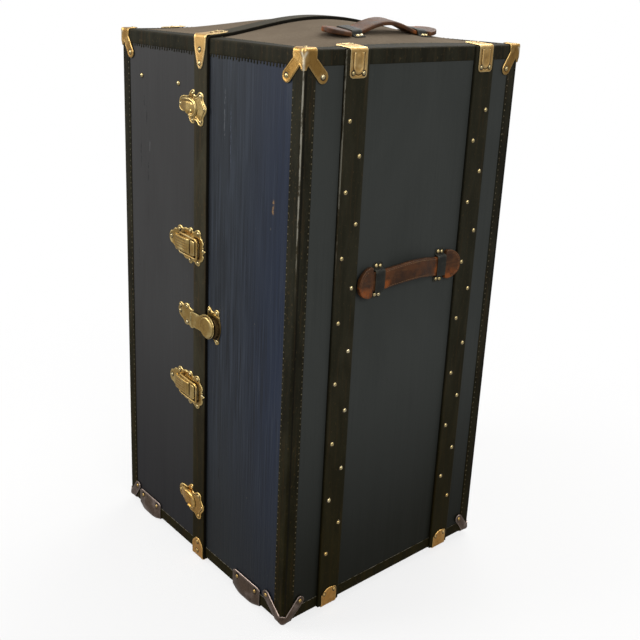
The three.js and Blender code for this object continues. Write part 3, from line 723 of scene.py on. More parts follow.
def fibre(name, base, dark, light, rough=0.5, low=1.0, brown=0.25):
    """Vulcanised fibre: dark, slightly mottled, rubbed pale at its bends with painted highlight there, and darkened by
    dirt and painted shade in its hollows.
    """
    n = Net(name)
    o = n.obj
    mott = n.noise(n.scale(o, (34, 34, 9)), 1.0, 5, 0.65, 0.4)
    fine = n.noise(o, 420, 4, 0.6)
    run = n.noise(n.scale(o, (170, 170, 7)), 1.0, 3, 0.6)
    col = n.mix(n.step(mott, 0.35, 0.7), dark, base)
    col = n.mix(n.mul(n.step(run, 0.5, 0.75), brown), col, n.mix(0.4, base, lin(88, 62, 34)))
    speck = n.noise(n.scale(o, (260, 260, 150), (3, 3, 6)), 1.0, 3, 0.7)
    col = n.mix(n.mul(n.step(speck, 0.6, 0.7), 1.1 * brown), col, lin(92, 76, 50))
    # darker and warmer towards the bottom
    if low < 1:
        z = n.xyz()[2]
        warm = n.mix(1.0, col, (low, low * 0.85, low * 0.3), "MULTIPLY")
        col = n.mix(n.step(n.add(z, n.mul(mott, 0.16)), 0.74, 0.12), col, warm)
    chip = n.noise(n.scale(o, (120, 120, 24), (4, 7, 1)), 1.0, 5, 0.7)
    worn = n.attr("worn")
    w = n.mul(n.step(worn, 0.25, 0.75), n.step(n.add(chip, n.mul(worn, 0.14)), 0.5, 0.62))
    # pale on bends and marked edges: wear with painted highlight
    col = n.mix(n.mul(n.step(worn, 0.1, 0.6), 0.4), col, lin(78, 68, 48))
    col = n.mix(n.mul(w, 0.9), col, light)
    # near-black where the dark values are set: dirt with painted shade and painted shadow
    col = n.mix(n.mul(n.attr("dirt"), 0.9), col, lin(10, 9, 7))
    bmp = n.bump(n.add(n.mul(fine, 0.4), mott), 0.35, 0.0006)
    ro = n.add(n.mul(mott, 0.25), rough - 0.12)
    return n.finish(col, ro, 0.0, bmp, 0.05)


def metal(name, base, dark, light, rough=0.34, tarnish=0.5, pit=0.3, metallic=0.9, scale=1.0, grime=0.92, cast=0.55):
    """Old plated sheet: polished on its bends, with painted highlight there, and tarnished in its hollows, with painted
    shade there and where other pieces come close.
    """
    n = Net(name)
    o = n.obj
    mott = n.noise(n.scale(o, (120 * scale, 120 * scale, 90 * scale)), 1.0, 5, 0.65, 0.5)
    spots = n.noise(n.scale(o, (420, 420, 420), (2, 9, 4)), 1.0, 3, 0.6)
    wide = n.noise(n.scale(o, (34, 34, 34), (5, 5, 5)), 1.0, 3, 0.5)
    col = n.mix(n.mul(n.step(mott, 0.42, 0.72), tarnish), base, dark)
    col = n.mix(n.mul(n.step(wide, 0.5, 0.72), 0.45), col, light)
    col = n.mix(n.mul(n.step(spots, 0.62, 0.8), pit), col, dark)
    worn, dirt = n.attr("worn"), n.attr("dirt")
    # pale on bends: polish with painted highlight
    col = n.mix(n.mul(n.step(worn, 0.1, 0.6), 0.75), col, light)
    z = n.xyz()[2]
    col = n.mix(n.step(n.add(z, n.mul(wide, 0.1)), 0.3, 0.12), col, n.mix(1.0, col, (0.98, 0.35 + 0.82 * cast if cast < 0.8 else cast, cast), "MULTIPLY"))
    # dark in hollows and where the dark values are set: tarnish with painted shade and painted shadow
    col = n.mix(n.mul(n.step(dirt, 0.06, 0.5), 0.94), col, tuple(0.2 * c for c in dark))
    # painted shade with grime where neighbouring pieces close over the surface
    near = n.add(n.attr("near"), n.mul(n.math("SUBTRACT", mott, 0.5), 0.25))
    col = n.mix(n.mul(n.step(near, 0.09, 0.42), grime), col, tuple(0.12 * c for c in dark))
    # painted highlight: a near-white, less metallic band where the rubbed values are set, along the ridges of the top
    # corners
    painted_ridge_highlight = n.mul(n.attr("rubbed"), n.step(mott, 0.75, 0.5))
    col = n.mix(painted_ridge_highlight, col, lin(252, 242, 214))
    bmp = n.bump(n.add(n.mul(mott, 0.6), n.mul(spots, 0.25)), 0.3, 0.0005)
    ro = n.add(n.mul(n.step(mott, 0.3, 0.8), 0.2), n.add(n.mul(dirt, 0.3), rough - 0.08))
    return n.finish(col, ro, n.add(n.mul(painted_ridge_highlight, -0.45), metallic), bmp, 0.5)


def leather(name, base, dark, light, orange, rough=0.45, rub=0.5):
    n = Net(name)
    o = n.obj
    cells = n.voro(n.scale(o, (1, 1, 1)), 520, "DISTANCE_TO_EDGE")
    soft = n.noise(o, 60, 5, 0.6, 0.3)
    fine = n.noise(o, 700, 3, 0.6)
    drag = n.noise(n.scale(o, (60, 14, 120), (1, 3, 2)), 1.0, 4, 0.7)
    col = n.mix(n.step(soft, 0.3, 0.7), dark, base)
    col = n.mix(n.mul(n.step(drag, 0.5, 0.72), rub), col, light)
    col = n.mix(n.mul(n.step(n.attr("rubbed"), 0.1, 0.9), n.step(soft, 0.3, 0.6)), col, orange)
    worn = n.attr("worn")
    # paler on its bends: wear with painted highlight
    col = n.mix(n.mul(n.step(worn, 0.1, 0.6), n.step(n.add(soft, 0.1), 0.4, 0.65)), col, light)
    col = n.mix(n.mul(n.step(cells, 0.12, 0.0), 0.35), col, dark)
    # darker in its hollows: dirt with painted shade
    col = n.mix(n.mul(n.attr("dirt"), 0.7), col, tuple(0.3 * c for c in dark))
    hgt = n.add(n.mul(n.step(cells, 0.0, 0.2), 0.5), n.add(n.mul(soft, 0.8), n.mul(fine, 0.2)))
    bmp = n.bump(hgt, 0.4, 0.0006)
    return n.finish(col, n.add(n.mul(soft, 0.25), rough - 0.1), 0.0, bmp, 0.28)


def wood(name, base, dark, rough=0.45, axis="z", coat=0.2, knots=1.0):
    n = Net(name)
    o = n.obj
    s = {"z": (60, 60, 3.0), "x": (3.0, 60, 60), "y": (60, 3.0, 60)}[axis]
    warpn = n.noise(n.scale(o, tuple(v * 0.15 for v in s)), 1.0, 3, 0.5, 0.8)
    rings = n.wave(n.scale(o, tuple(v * 0.35 for v in s)), 1.2, 5.0, 3, 1.2, "DIAGONAL")
    pores = n.noise(n.scale(o, tuple(v * 9 for v in s)), 1.0, 3, 0.7)
    col = n.mix(n.mul(rings, 0.6), base, dark)
    col = n.mix(n.mul(n.step(warpn, 0.4, 0.7), 0.5), col, dark)
    col = n.mix(n.mul(n.step(pores, 0.58, 0.75), 0.55), col, tuple(0.6 * c for c in dark))
    # paler on bends: wear with painted highlight
    col = n.mix(n.mul(n.step(n.attr("worn"), 0.1, 0.6), 0.4), col, tuple(min(1, 1.5 * c) for c in base))
    bmp = n.bump(n.add(n.mul(pores, 0.7), n.mul(rings, 0.3)), 0.25, 0.0005)
    return n.finish(col, n.add(n.mul(pores, 0.2), rough - 0.08), 0.0, bmp, 0.45, coat=coat, coat_rough=0.3)


def paper(name, base, stripe, spot, pitch=14.0, rough=0.75, plane="yz"):
    """Lining paper: fine stripes with a small diamond repeat, foxed with age."""
    n = Net(name)
    o = n.obj
    x, y, z = n.xyz()[0], n.xyz()[1], n.xyz()[2]
    a = n.add(x, y)
    k = 1000.0 / pitch
    s1 = n.math("ABSOLUTE", n.math("SUBTRACT", n.math("FRACT", n.mul(a, k)), 0.5))
    u = n.math("FRACT", n.mul(n.add(a, n.mul(z, 1.0)), k * 0.5))
    v = n.math("FRACT", n.mul(n.math("SUBTRACT", a, n.mul(z, 1.0)), k * 0.5))
    du = n.math("ABSOLUTE", n.math("SUBTRACT", u, 0.5))
    dv = n.math("ABSOLUTE", n.math("SUBTRACT", v, 0.5))
    dia = n.step(n.math("MAXIMUM", du, dv), 0.16, 0.12)
    line = n.step(s1, 0.06, 0.03)
    age = n.noise(o, 9, 5, 0.65, 0.3)
    fine = n.noise(o, 800, 3, 0.6)
    fox = n.noise(n.scale(o, (1, 1, 1), (3, 2, 1)), 55, 4, 0.7)
    col = n.mix(n.mul(line, 0.55), base, stripe)
    col = n.mix(n.mul(dia, 0.6), col, stripe)
    col = n.mix(n.mul(n.step(age, 0.45, 0.75), 0.4), col, spot)
    col = n.mix(n.mul(n.step(fox, 0.66, 0.8), 0.5), col, spot)
    bmp = n.bump(n.add(n.mul(fine, 0.5), age), 0.2, 0.0005)
    return n.finish(col, n.add(n.mul(age, 0.15), rough - 0.1), 0.0, bmp, 0.3)


NAVY = cloth("cloth_navy", lin(45, 50, 56), lin(58, 65, 76), lin(32, 35, 41), 0.7, 0.8, 0.46, low=0.44, tint=lin(33, 42, 62), fade=0.55,
             scars=((334, 880, 50, 1.6, lin(92, 96, 100)), (302, 905, 34, 1.2, lin(24, 27, 33)), (352, 846, 60, 1.4, lin(74, 82, 98)), (470, 752, 14, 3.2, lin(150, 118, 78)), (402, 640, 90, 1.3, lin(26, 29, 36))))
CHAR = cloth("cloth_charcoal", lin(58, 58, 58), lin(66, 66, 66), lin(48, 47, 47), 0.16, 0.25, 0.55, spots=0.12, low=0.26, fade=0.62, cast=1.12,
             scars=((74, 872, 14, 1.8, lin(16, 16, 17)), (82, 850, 20, 1.6, lin(16, 16, 17)), (60, 770, 26, 2.0, lin(14, 14, 15)), (86, 742, 22, 1.8, lin(14, 14, 15)), (92, 790, 12, 1.5, lin(96, 96, 98)), (48, 560, 24, 1.6, lin(20, 20, 21))))
SLATE = cloth("cloth_slate", lin(60, 63, 61), lin(67, 70, 67), lin(51, 54, 52), 0.12, 0.25, 0.5, spots=0.08, low=0.16, fade=0.56, cast=0.6, spec=0.14)
# pale top: partly dust, partly a painted reflection of the bright room seen at a grazing angle
TOP_DUST_AND_SHEEN = cloth("cloth_top", lin(124, 112, 97), lin(146, 134, 116), lin(92, 81, 68), 0.14, 0.3, 0.84, spots=0.35, spec=0.02)
BIND = fibre("fibre_binding", lin(45, 44, 34), lin(31, 30, 22), lin(168, 164, 150), 0.56, 0.62, 0.45)
SLATM = fibre("fibre_slat", lin(48, 46, 35), lin(37, 36, 26), lin(140, 136, 122), 0.54, 0.62, 0.35)
STRIPM = fibre("fibre_strip", lin(62, 59, 46), lin(47, 43, 32), lin(84, 66, 40), 0.52, 0.4, 0.5)
BRASS = metal("brass_aged", lin(192, 156, 86), lin(104, 68, 26), lin(248, 224, 156), 0.32, 0.55, 0.4)
SATIN = metal("brass_satin", lin(208, 168, 102), lin(140, 100, 48), lin(244, 218, 160), 0.38, 0.5, 0.3)
TOPB = metal("brass_corner", lin(172, 132, 68), lin(104, 74, 34), lin(226, 190, 122), 0.34, 0.6, 0.35)
WIREM = metal("brass_wire", lin(212, 176, 104), lin(132, 94, 44), lin(255, 238, 184), 0.3, 0.4, 0.2, grime=0.7)
BRIGHT = metal("brass_bright", lin(204, 184, 132), lin(112, 90, 50), lin(255, 246, 214), 0.2, 0.35, 0.15, grime=0.0)
TACKM = metal("tack_dull", lin(84, 76, 52), lin(46, 40, 26), lin(128, 118, 88), 0.5, 0.5, 0.3, metallic=0.4, grime=0.0)
STEEL = metal("steel_browned", lin(104, 92, 78), lin(50, 41, 32), lin(178, 170, 160), 0.3, 0.5, 0.4, grime=0.8, cast=0.86)
HLEA = leather("leather_handle", lin(86, 50, 22), lin(52, 31, 15), lin(114, 74, 38), lin(148, 78, 26), 0.5)
LLEA = leather("leather_loop", lin(37, 38, 33), lin(22, 23, 20), lin(64, 64, 54), lin(58, 56, 46), 0.55, 0.3)
THREAD = metal("thread_waxed", lin(132, 100, 66), lin(80, 56, 34), lin(168, 140, 100), 0.6, 0.4, 0.2, metallic=0.0)
LINING = paper("paper_lining", lin(196, 184, 156), lin(120, 108, 92), lin(160, 138, 104))
DRAWERM = paper("paper_drawer", lin(176, 158, 128), lin(104, 84, 66), lin(140, 112, 80), 18.0)
RAW = wood("ply_edge", lin(150, 118, 80), lin(98, 70, 44), 0.6, "z", 0.05)
CABM = wood("wood_cabinet", lin(140, 98, 60), lin(84, 54, 32), 0.42, "z", 0.35)
BLACKP = fibre("fibre_black", lin(30, 29, 26), lin(18, 17, 15), lin(90, 84, 72), 0.45)
# dark collar round nail and rivet heads: grime with a painted shadow
GRIME_AND_SHADOW = metal("brass_grime", lin(34, 26, 15), lin(16, 12, 8), lin(52, 40, 24), 0.6, 0.6, 0.4, metallic=0.3, grime=0.0)
PLATED = metal("brass_plated", lin(190, 164, 104), lin(120, 96, 52), lin(236, 216, 160), 0.24, 0.4, 0.2)


# ------------------------------------------------------------------ case halves
def shell(x0, x1, opening, name, body, node, front, end):
    """Plywood half case with its open side at the seam, and the pillowed top."""
    p = Part()
    wall, topw = 9.0, 12.0
    ys = np.linspace(0, 1, 49)

    def ring(x, out):
        y0, y1, z0 = (0, D, 0) if out else (wall, D - wall, wall)
        drop = 0 if out else topw
        pts = [(x, y0, z) for z in np.linspace(z0, H - drop, 13)[:-1]]
        pts += [(x, y, H - drop + float(crown(x, y))) for y in y0 + (y1 - y0) * ys]
        pts += [(x, y1, z) for z in np.linspace(H - drop, z0, 13)[1:]]
        pts += [(x, y, z0) for y in np.linspace(y1, y0, 13)[1:-1]]
        return pts

    xo = np.linspace(0, 1, 25)
    if opening == "r":
        a, b = x0, x1
        rings = [ring(a + (b - a) * t, True) for t in xo] + [ring(b + (a + wall - b) * t, False) for t in xo]
    else:
        a, b = x1, x0
        rings = [ring(a + (b - a) * t, True) for t in xo] + [ring(b + (a - wall - b) * t, False) for t in xo]

    def rm(k, i):
        if k == -1:
            return 1
        if k == len(rings):
            return 5
        if k == 24:
            return 4
        if k > 24:
            return 5
        return 0 if i < 12 else 2 if i < 60 else 3
    loft(p, rings, ring_mats=rm)
    return p.build(name, body, "case", [front, end, TOP_DUST_AND_SHEEN, front, RAW, LINING], replaces=[node], angle=30)


shell(0, SEAM - 0.4, "r", "left_case_covered", "left_half", "left_shell", CHAR, SLATE)
shell(SEAM, W, "l", "right_case_covered", "right_half", "right_shell", NAVY, SLATE)

# ------------------------------------------------------------------ edge binding
US = [-1.0, -0.975, -0.94, -0.6, -0.3, -0.16, -0.1, -0.07, -0.045, -0.02, 0.0, 0.02, 0.045, 0.07, 0.1, 0.16, 0.3, 0.6, 0.94, 0.975, 1.0]


def band(part, f1, f2, edge, t0, t1, step, wid1=24.0, wid2=24.0, h=1.5, teeth=None):
    """Folded strip along one edge of the case, lapping wid1 on one face and wid2 on the other."""
    wr = Wrap(rad=2.4)
    n = max(2, int(abs(t1 - t0) / step) + 1)
    ts = np.linspace(t0, t1, n)
    rings = []
    for t in ts:
        qs, hs = [], []
        for u in US:
            w = wid1 if u < 0 else wid2
            f = f1 if u < 0 else f2
            qs.append(edge(f, abs(u) * w, t))
            hs.append(h * (0.35 if abs(u) == 1 else 0.8 if abs(u) == 0.975 else 1))
        Q = np.array(qs)
        outer = wr.out(Q, np.array(hs))
        inner = wr.out(Q, np.full(len(US), 0.03))
        rings.append(np.concatenate([outer, inner[::-1]]))
    loft(part, rings)


def v_edge(sx, sy):
    """Upright edge at x side sx and y side sy (0 or 1): returns the mapping for band()."""
    def e(f, w, t):
        x, y = (W if sx else 0), (D if sy else 0)
        if f in "FB":
            return (x - w if sx else x + w, y, t)
        return (x, y - w if sy else y + w, t)
    return e


def x_edge(sy, sz):
    def e(f, w, t):
        y, z = (D if sy else 0), (H if sz else 0)
        if f in "TD":
            return (t, y - w if sy else y + w, z)
        return (t, y, z - w if sz else z + w)
    return e


def y_edge(sx, sz):
    def e(f, w, t):
        x, z = (W if sx else 0), (H if sz else 0)
        if f in "TD":
            return (x - w if sx else x + w, t, z)
        return (x, t, z - w if sz else z + w)
    return e


def edge_wear_and_highlight(v):
    """Pale wear with a painted highlight on the folded upright edges, fading downwards, and a thin line on the lower
    bands.
    """
    x, y, z = v[:, 0], v[:, 1], v[:, 2]
    dx = np.minimum(np.abs(x), np.abs(x - W))
    dy = np.minimum(np.abs(y), np.abs(y - D))
    dz = np.minimum(np.abs(z), np.abs(z - H - crown(x, y)))
    # the painted highlight is brightest at the top of each upright edge, where the light falls on it
    fade = 0.16 + 0.84 * np.clip((z - 560) / 230, 0, 1)
    up = np.exp(-((np.hypot(dx, dy) / 1.5) ** 2)) * fade
    lev = np.maximum(np.exp(-((np.hypot(dx, dz) / 1.6) ** 2)), np.exp(-((np.hypot(dy, dz) / 1.6) ** 2))) * 0.3
    low = 0.6 * np.exp(-(((z - 22.3) / 0.9) ** 2)) * (np.minimum(dx, dy) < 3)
    return np.maximum(np.maximum(up, lev), low)


def edge_dark_line(v):
    """Dark crease beside each upright edge, on the end faces."""
    x, y = v[:, 0], v[:, 1]
    dx = np.minimum(np.abs(x), np.abs(x - W))
    dy = np.minimum(np.abs(y), np.abs(y - D))
    return 0.9 * np.exp(-(((dy - 3.6) / 1.3) ** 2)) * (dx < 2.5) * (v[:, 2] < H - 20)


def binding(side):
    p = Part()
    sx = 0 if side == "left" else 1
    endf = "L" if side == "left" else "R"
    xa, xb = (0, SEAM - 0.5) if side == "left" else (SEAM + 39.4, W)
    for sy, f in ((0, "F"), (1, "B")):
        band(p, f, endf, v_edge(sx, sy), 0, H, 20, h=1.5)
        band(p, f, "T", x_edge(sy, 1), xa, xb, 7, h=1.22)
        band(p, f, "D", x_edge(sy, 0), xa, xb, 20, 22, 22, h=1.22)
    band(p, endf, "T", y_edge(sx, 1), 0, D, 7, h=1.05)
    band(p, endf, "D", y_edge(sx, 0), 0, D, 20, 22, 22, h=1.05)
    # comb of small stitched tabs under the top bands
    x = xa + 27 if side == "left" else xa + 3
    stop = xb - 3 if side == "left" else xb - 27
    while x < stop:
        ln = rng.uniform(4.0, 6.4)
        for f in ("F", "B"):
            relief(p, f, [(x - 1.9, H - 23.7), (x - 1.5, H - 24 - ln), (x + 1.4, H - 24 - ln + 0.5), (x + 1.9, H - 23.7)], 0.9, 0.02, 3.0, soft=0.3)
        x += 8.0 + rng.uniform(-0.5, 0.5)
    return p.build(side + "_binding_folded", side + "_half", "binding", [BIND], replaces=[side + "_edge_binding"], angle=50, curv=5.0, marks=edge_wear_and_highlight, soil=edge_dark_line)


binding("left")
binding("right")

# ------------------------------------------------------------------ nails and tacks
tacks = {"left": Part(), "right": Part()}
nails = {"left": Part(), "right": Part()}


def tack(side, face, a, b, c=1.3):
    n = top_normal(a, b) if face == "T" else FN[face]
    P = at(face, a, b, c)
    lathe(tacks[side], P, n, [(1.35, -0.3), (1.35, 0.25), (0.95, 0.6), (0, 0.78)], 8, 0, rng.uniform(0, 1))


def tack_line(side, face, p0, p1, pitch=11.0, c=1.45, skip=None):
    p0, p1 = np.array(p0, float), np.array(p1, float)
    L = np.linalg.norm(p1 - p0)
    n = int(L / pitch)
    for k in range(n + 1):
        q = p0 + (p1 - p0) * (k / n) + np.array([rng.uniform(-0.25, 0.25), rng.uniform(-0.25, 0.25)])
        if skip and skip(q):
            continue
        tack(side, face, q[0], q[1], c)


SLAT_C = [float(mm("right_slat_front")[0][1] + mm("right_slat_front")[1][1]) / 2, float(mm("right_slat_rear")[0][1] + mm("right_slat_rear")[1][1]) / 2]
near_slat = lambda q: any(abs(q[0] - y) < 26.5 for y in SLAT_C)
for side, xe, xi, endf in (("left", 0, SEAM - 4, "L"), ("right", W, SEAM + 43, "R")):
    s = 1 if side == "left" else -1
    e = 21.0
    for f in "FB":
        tack_line(side, f, (xe + s * e, 40), (xe + s * e, H - 60))
    for sy in (0, 1):
        y = D - e if sy else e
        tack_line(side, endf, (y, 60 if sy == 0 else 45), (y, H - 60))
        tack_line(side, "T", (xe + s * 30, D - 21 if sy else 21), (xi, D - 21 if sy else 21), 11, 1.15)
    tack_line(side, "T", (xe + s * 21, 30), (xe + s * 21, D - 30), 11, 1.0, near_slat)

SLAT_Z = 6.0
for side, face in (("left", "L"), ("right", "R")):
    for i, yc in enumerate(SLAT_C):
        for k in range(15):
            z = 110 + 55.8 * k + rng.uniform(-1.5, 1.5)
            off = -13 if (k % 2 == 0) == (i == 0) else 13
            dome(nails[side], at(face, yc + off + rng.uniform(-0.8, 0.8), z, SLAT_Z), FN[face], 3.9, 2.9)
for a, b in ((67, 920), (193, 918)):
    dome(nails["left"], at("F", a, b, 0), FN["F"], 4.2, 3.2)

# ------------------------------------------------------------------ seam strip
def seam_strip():
    p = Part()
    wr = Wrap(rad=4.5)
    x0, x1 = STRIP
    sect = [(x0, 0.05), (x0, 4.7), (x0 + 0.35, 5.5), (x0 + 1.2, 5.95), (x0 + 3, 6.0)]
    sect += [(x, 6.0) for x in np.linspace(x0 + 8, x1 - 8, 6)]
    sect += [(x1 - 3, 6.0), (x1 - 1.2, 5.95), (x1 - 0.35, 5.5), (x1, 4.7), (x1, 0.05)]
    sect += [(x, 0.05) for x in np.linspace(x1 - 8, x0 + 8, 3)]
    st = []
    corner = [0, 0.8, 1.6, 2.4, 3.2, 4.0, 5.0]
    st += [("F", z) for z in corner + list(np.linspace(30, H - 30, 40)) + [H - c for c in reversed(corner[1:])]]
    st += [("T", y) for y in corner + list(np.linspace(12, D - 12, 60)) + [D - c for c in reversed(corner[1:])]]
    st += [("B", z) for z in [H - c for c in corner] + list(np.linspace(H - 30, 30, 40)) + list(reversed(corner[1:]))]
    st += [("D", y) for y in [D - c for c in corner] + list(np.linspace(D - 12, 12, 20)) + list(reversed(corner[1:]))]
    rings = []
    for f, t in st:
        q = np.array([{"F": (x, 0, t), "B": (x, D, t), "T": (x, t, H), "D": (x, t, 0)}[f] for x, _ in sect], float)
        rings.append(wr.out(q, np.array([h for _, h in sect])))
    loft(p, rings, loop=True)
    # a faint pale line on the strip's left edge, and painted shadow along its right side
    return p.build("seam_strip_rounded", "right_half", "slats", [STRIPM], replaces=["seam_strip"], angle=50, curv=5.0, marks=lambda v: 0.25 * (np.abs(v[:, 0] - STRIP[0]) < 1.2), soil=lambda v: 0.95 * (np.abs(v[:, 0] - STRIP[1]) < 0.2))


seam_strip()

# ------------------------------------------------------------------ slats
for side, face in (("left", "L"), ("right", "R")):
    for i, w in enumerate(("front", "rear")):
        p = Part()
        node = f"{side}_slat_{w}"
        yc = SLAT_C[i]
        y0, y1 = yc - 24.5, yc + 24.5
        sect = [(y0, 0.3), (y0, 4.6), (y0 + 0.35, 5.45), (y0 + 1.2, 5.92), (y0 + 3, 6.0)]
        sect += [(y, 6.0) for y in np.linspace(y0 + 9, y1 - 9, 5)]
        sect += [(y1 - 3, 6.0), (y1 - 1.2, 5.92), (y1 - 0.35, 5.45), (y1, 4.6), (y1, 0.3)]
        rings = []
        zs = [0, 0.4, 1.2, 3] + list(np.linspace(20, H - 20, 44)) + [H - 3, H - 1.2, H - 0.4, H]
        for z in zs:
            k = min(z, H - z)
            cut = 1.0 if k < 0.2 else 0.4 if k < 0.6 else 0.0
            a = np.array([y for y, _ in sect])
            c = np.array([max(0.3, h - cut) for _, h in sect])
            rings.append(FMAP[face](a, np.full(len(a), float(z)), c))
        loft(p, rings)
        # pale line down each slat's front edge, a strong painted highlight at the top of the front slats; painted shade
        # along both slat sides where they meet the panel
        p.build(node + "_faced", side + "_half", "slats", [SLATM], replaces=[node], angle=50, curv=5.0,
                marks=lambda v, a=y0, i=i: (0.1 + 0.75 * (i == 0) * np.clip((v[:, 2] - 560) / 240, 0, 1)) * (np.abs(v[:, 1] - a) < 1.0) * (np.abs(np.abs(v[:, 0] - W / 2) - W / 2) > 3) * (np.abs(v[:, 2] - 500) < 499),
                soil=lambda v, a=y0, b=y1: 0.9 * ((np.abs(v[:, 1] - a) < 0.2) | (np.abs(v[:, 1] - b) < 0.2)) * (np.abs(np.abs(v[:, 0] - W / 2) - W / 2) < 2))

# ------------------------------------------------------------------ clamps
T_SHEET = 1.4


def bump2(a, b, a0, b0, w):
    return np.exp(-(((a - a0) ** 2 + (b - b0) ** 2) / (w * w)))


def slat_clamp(end, top, yc):
    """Sheet clamp turned over a slat's end, built on the right end and mirrored for the left: the end argument ('R'
    here) is not used.
    """
    p = Part()
    o = 1.8
    wr = Wrap(f=o, b=o, r=6.3, l=o, t=o, d=o, rad=3.6)
    y0, y1 = yc - 18, yc + 18
    if top:
        zf = H + o
        r = 7.0
        low = [(y0 + r * (1 - math.cos(math.radians(q))), H - 44 + r * (1 - math.sin(math.radians(q)))) for q in (0, 22, 45, 68, 90)]
        high = [(y1 - (x - y0), z) for x, z in reversed(low)]
        R = [(y0, zf)] + low + high + [(y1, zf)]
        xt = W + 6.3
        T = [(xt, y0), (xt, y1), (W - 27, y1), (W - 33, y1 - 6), (W - 33, y0 + 6), (W - 27, y0)]

        def h(face, a, b, d):
            k = np.full(len(a), T_SHEET)
            if face == "R":
                # pressed shield: a U-shaped ridge, with a raised field above it
                u = (a - yc) / 11.0
                v = (b - (H - 26)) / 12.0
                rr = np.sqrt(u * u + np.minimum(v, 0) ** 2)
                k = k + 0.9 * np.exp(-((rr - 0.78) / 0.2) ** 2) * (b < H - 5) - 0.8 * np.exp(-((rr - 1.06) / 0.1) ** 2) * (b < H - 5)
                k = k + 0.9 * bump2(a, b, yc - 1, H - 12, 5.0) - 0.4 * bump2(a, b, yc, H - 22, 3.0)
            else:
                k = k + 0.5 * np.exp(-((d - 4.0) / 1.0) ** 2)
            return k
        wrap(p, wr, {"R": R, "T": T}, h, pitch=1.25)
        for s in (-1, 1):
            rivet(nails["right"], at("R", yc + s * 11, H - 36, 6.3 + T_SHEET), FN["R"], 3.0, 1.7)
            rivet(nails["right"], at("T", W - 22, yc + s * 10, o + T_SHEET), top_normal(W - 22, yc), 2.8, 1.5)
    else:
        zf = -o
        low = [(y0, 22), (y0 + 3, 27), (yc - 5, 33.5), (yc + 5, 34), (y1 - 2, 31), (y1, 27)]
        R = [(y0, zf)] + low + [(y1, zf)]
        xt = W + 6.3
        T = [(xt, y0), (xt, y1), (W - 36, y1), (W - 40, y1 - 5), (W - 40, y0 + 5), (W - 36, y0)]

        def h(face, a, b, d):
            k = np.full(len(a), T_SHEET)
            if face == "R":
                k = k + 0.5 * np.exp(-((d - 3.2) / 0.9) ** 2) + 0.7 * bump2(a, b, yc, 14, 8.0)
            return k
        wrap(p, wr, {"R": R, "D": T}, h, pitch=1.25)
        for s in (-1, 1):
            rivet(nails["right"], at("R", yc + s * 12, 24 if s < 0 else 26, 6.3 + T_SHEET), FN["R"], 3.0, 1.5)
    return p


for i, w in enumerate(("front", "rear")):
    for top in (True, False):
        tag = "top" if top else "bottom"
        saved = nails["right"]
        nails["right"] = Part()
        p = slat_clamp("R", top, SLAT_C[i])
        extra = nails["right"]
        nails["right"] = saved
        ev = np.concatenate(extra.v)
        nails["right"].add(ev, extra.f, extra.m)
        m = extra.mirror(mx=True)
        nails["left"].add(np.concatenate(m.v), m.f, m.m)
        p.build(f"right_slat_{w}_{tag}_clamp_pressed", "right_half", "brass", [SATIN], replaces=[f"right_slat_{w}_{tag}_clamp"], angle=50, curv=3.0)
        p.mirror(mx=True).build(f"left_slat_{w}_{tag}_clamp_pressed", "left_half", "brass", [SATIN], replaces=[f"left_slat_{w}_{tag}_clamp"], angle=50, curv=3.0)

for tag in ("top", "bottom"):
    for rear in (False, True):
        p = Part()
        o = 6.3
        wr = Wrap(f=o, b=o, l=o, r=o, t=o, d=o, rad=4.5)
        xa, xb, xm = SEAM + 2, SEAM + 37, SEAM + 19.5
        if tag == "top":
            zf = H + o
            tongue = [(xa, zf), (xa + 0.3, H - 6), (xa + 1.5, H - 16), (xa + 6, H - 33), (xa + 10, H - 45), (xm - 2.5, H - 50.5), (xm + 2.5, H - 50.5), (xb - 10, H - 45), (xb - 6, H - 33), (xb - 1.5, H - 16), (xb - 0.3, H - 6), (xb, zf)]
            T = [(xa, -o), (xb, -o), (xb, 34), (xb - 5, 42), (xa + 5, 42), (xa, 34)]

            def h(face, a, b, d):
                k = np.full(len(a), T_SHEET)
                if face == "F":
                    k = k + 0.45 * np.exp(-((d - 2.6) / 0.8) ** 2)
                    k = k - 0.5 * bump2(a, b, xm, H - 19, 4.6) - 0.5 * bump2(a, b, xm, H - 41, 3.6)
                return k
            wrap(p, wr, {"F": tongue, "T": T}, h, pitch=1.2)
            pts = [at("F", xm, H - 19, o + 1.2), at("F", xm, H - 41, o + 1.2)]
            tp = [at("T", xm - 8, 33, o + 1.4), at("T", xm + 8, 33, o + 1.4), at("T", xm, 18, o + 1.4)]
        else:
            zf = -o
            heel = [(xa, zf), (xa, 20), (xa + 3, 26), (xm - 5, 35), (xm + 5, 35.5), (xb - 3, 26), (xb, 20), (xb, zf)]
            T = [(xa, -o), (xb, -o), (xb, 36), (xb - 5, 42), (xa + 5, 42), (xa, 36)]

            def h(face, a, b, d):
                k = np.full(len(a), T_SHEET)
                if face == "F":
                    k = k + 0.45 * np.exp(-((d - 2.6) / 0.8) ** 2) - 0.5 * bump2(a, b, xm, 26, 4.0) - 0.5 * bump2(a, b, xm, 7, 4.0)
                return k
            wrap(p, wr, {"F": heel, "D": T}, h, pitch=1.2)
            pts = [at("F", xm, 27, o + 1.2), at("F", xm, 7, o + 1.2)]
            tp = []
        q = Part()
        for P in pts:
            rivet(q, P, FN["F"], 3.4, 1.9)
        for P in tp:
            rivet(q, P, (0, 0, 1), 2.8, 1.6)
        if rear:
            p, q = p.mirror(my=True), q.mirror(my=True)
        nails["right"].add(np.concatenate(q.v), q.f, q.m)
        nm = f"seam_{tag}_clamp_" + ("rear" if rear else "pressed")
        p.build(nm, "right_half", "brass", [SATIN], replaces=[] if rear else [f"seam_{tag}_clamp"], angle=50, curv=3.0)


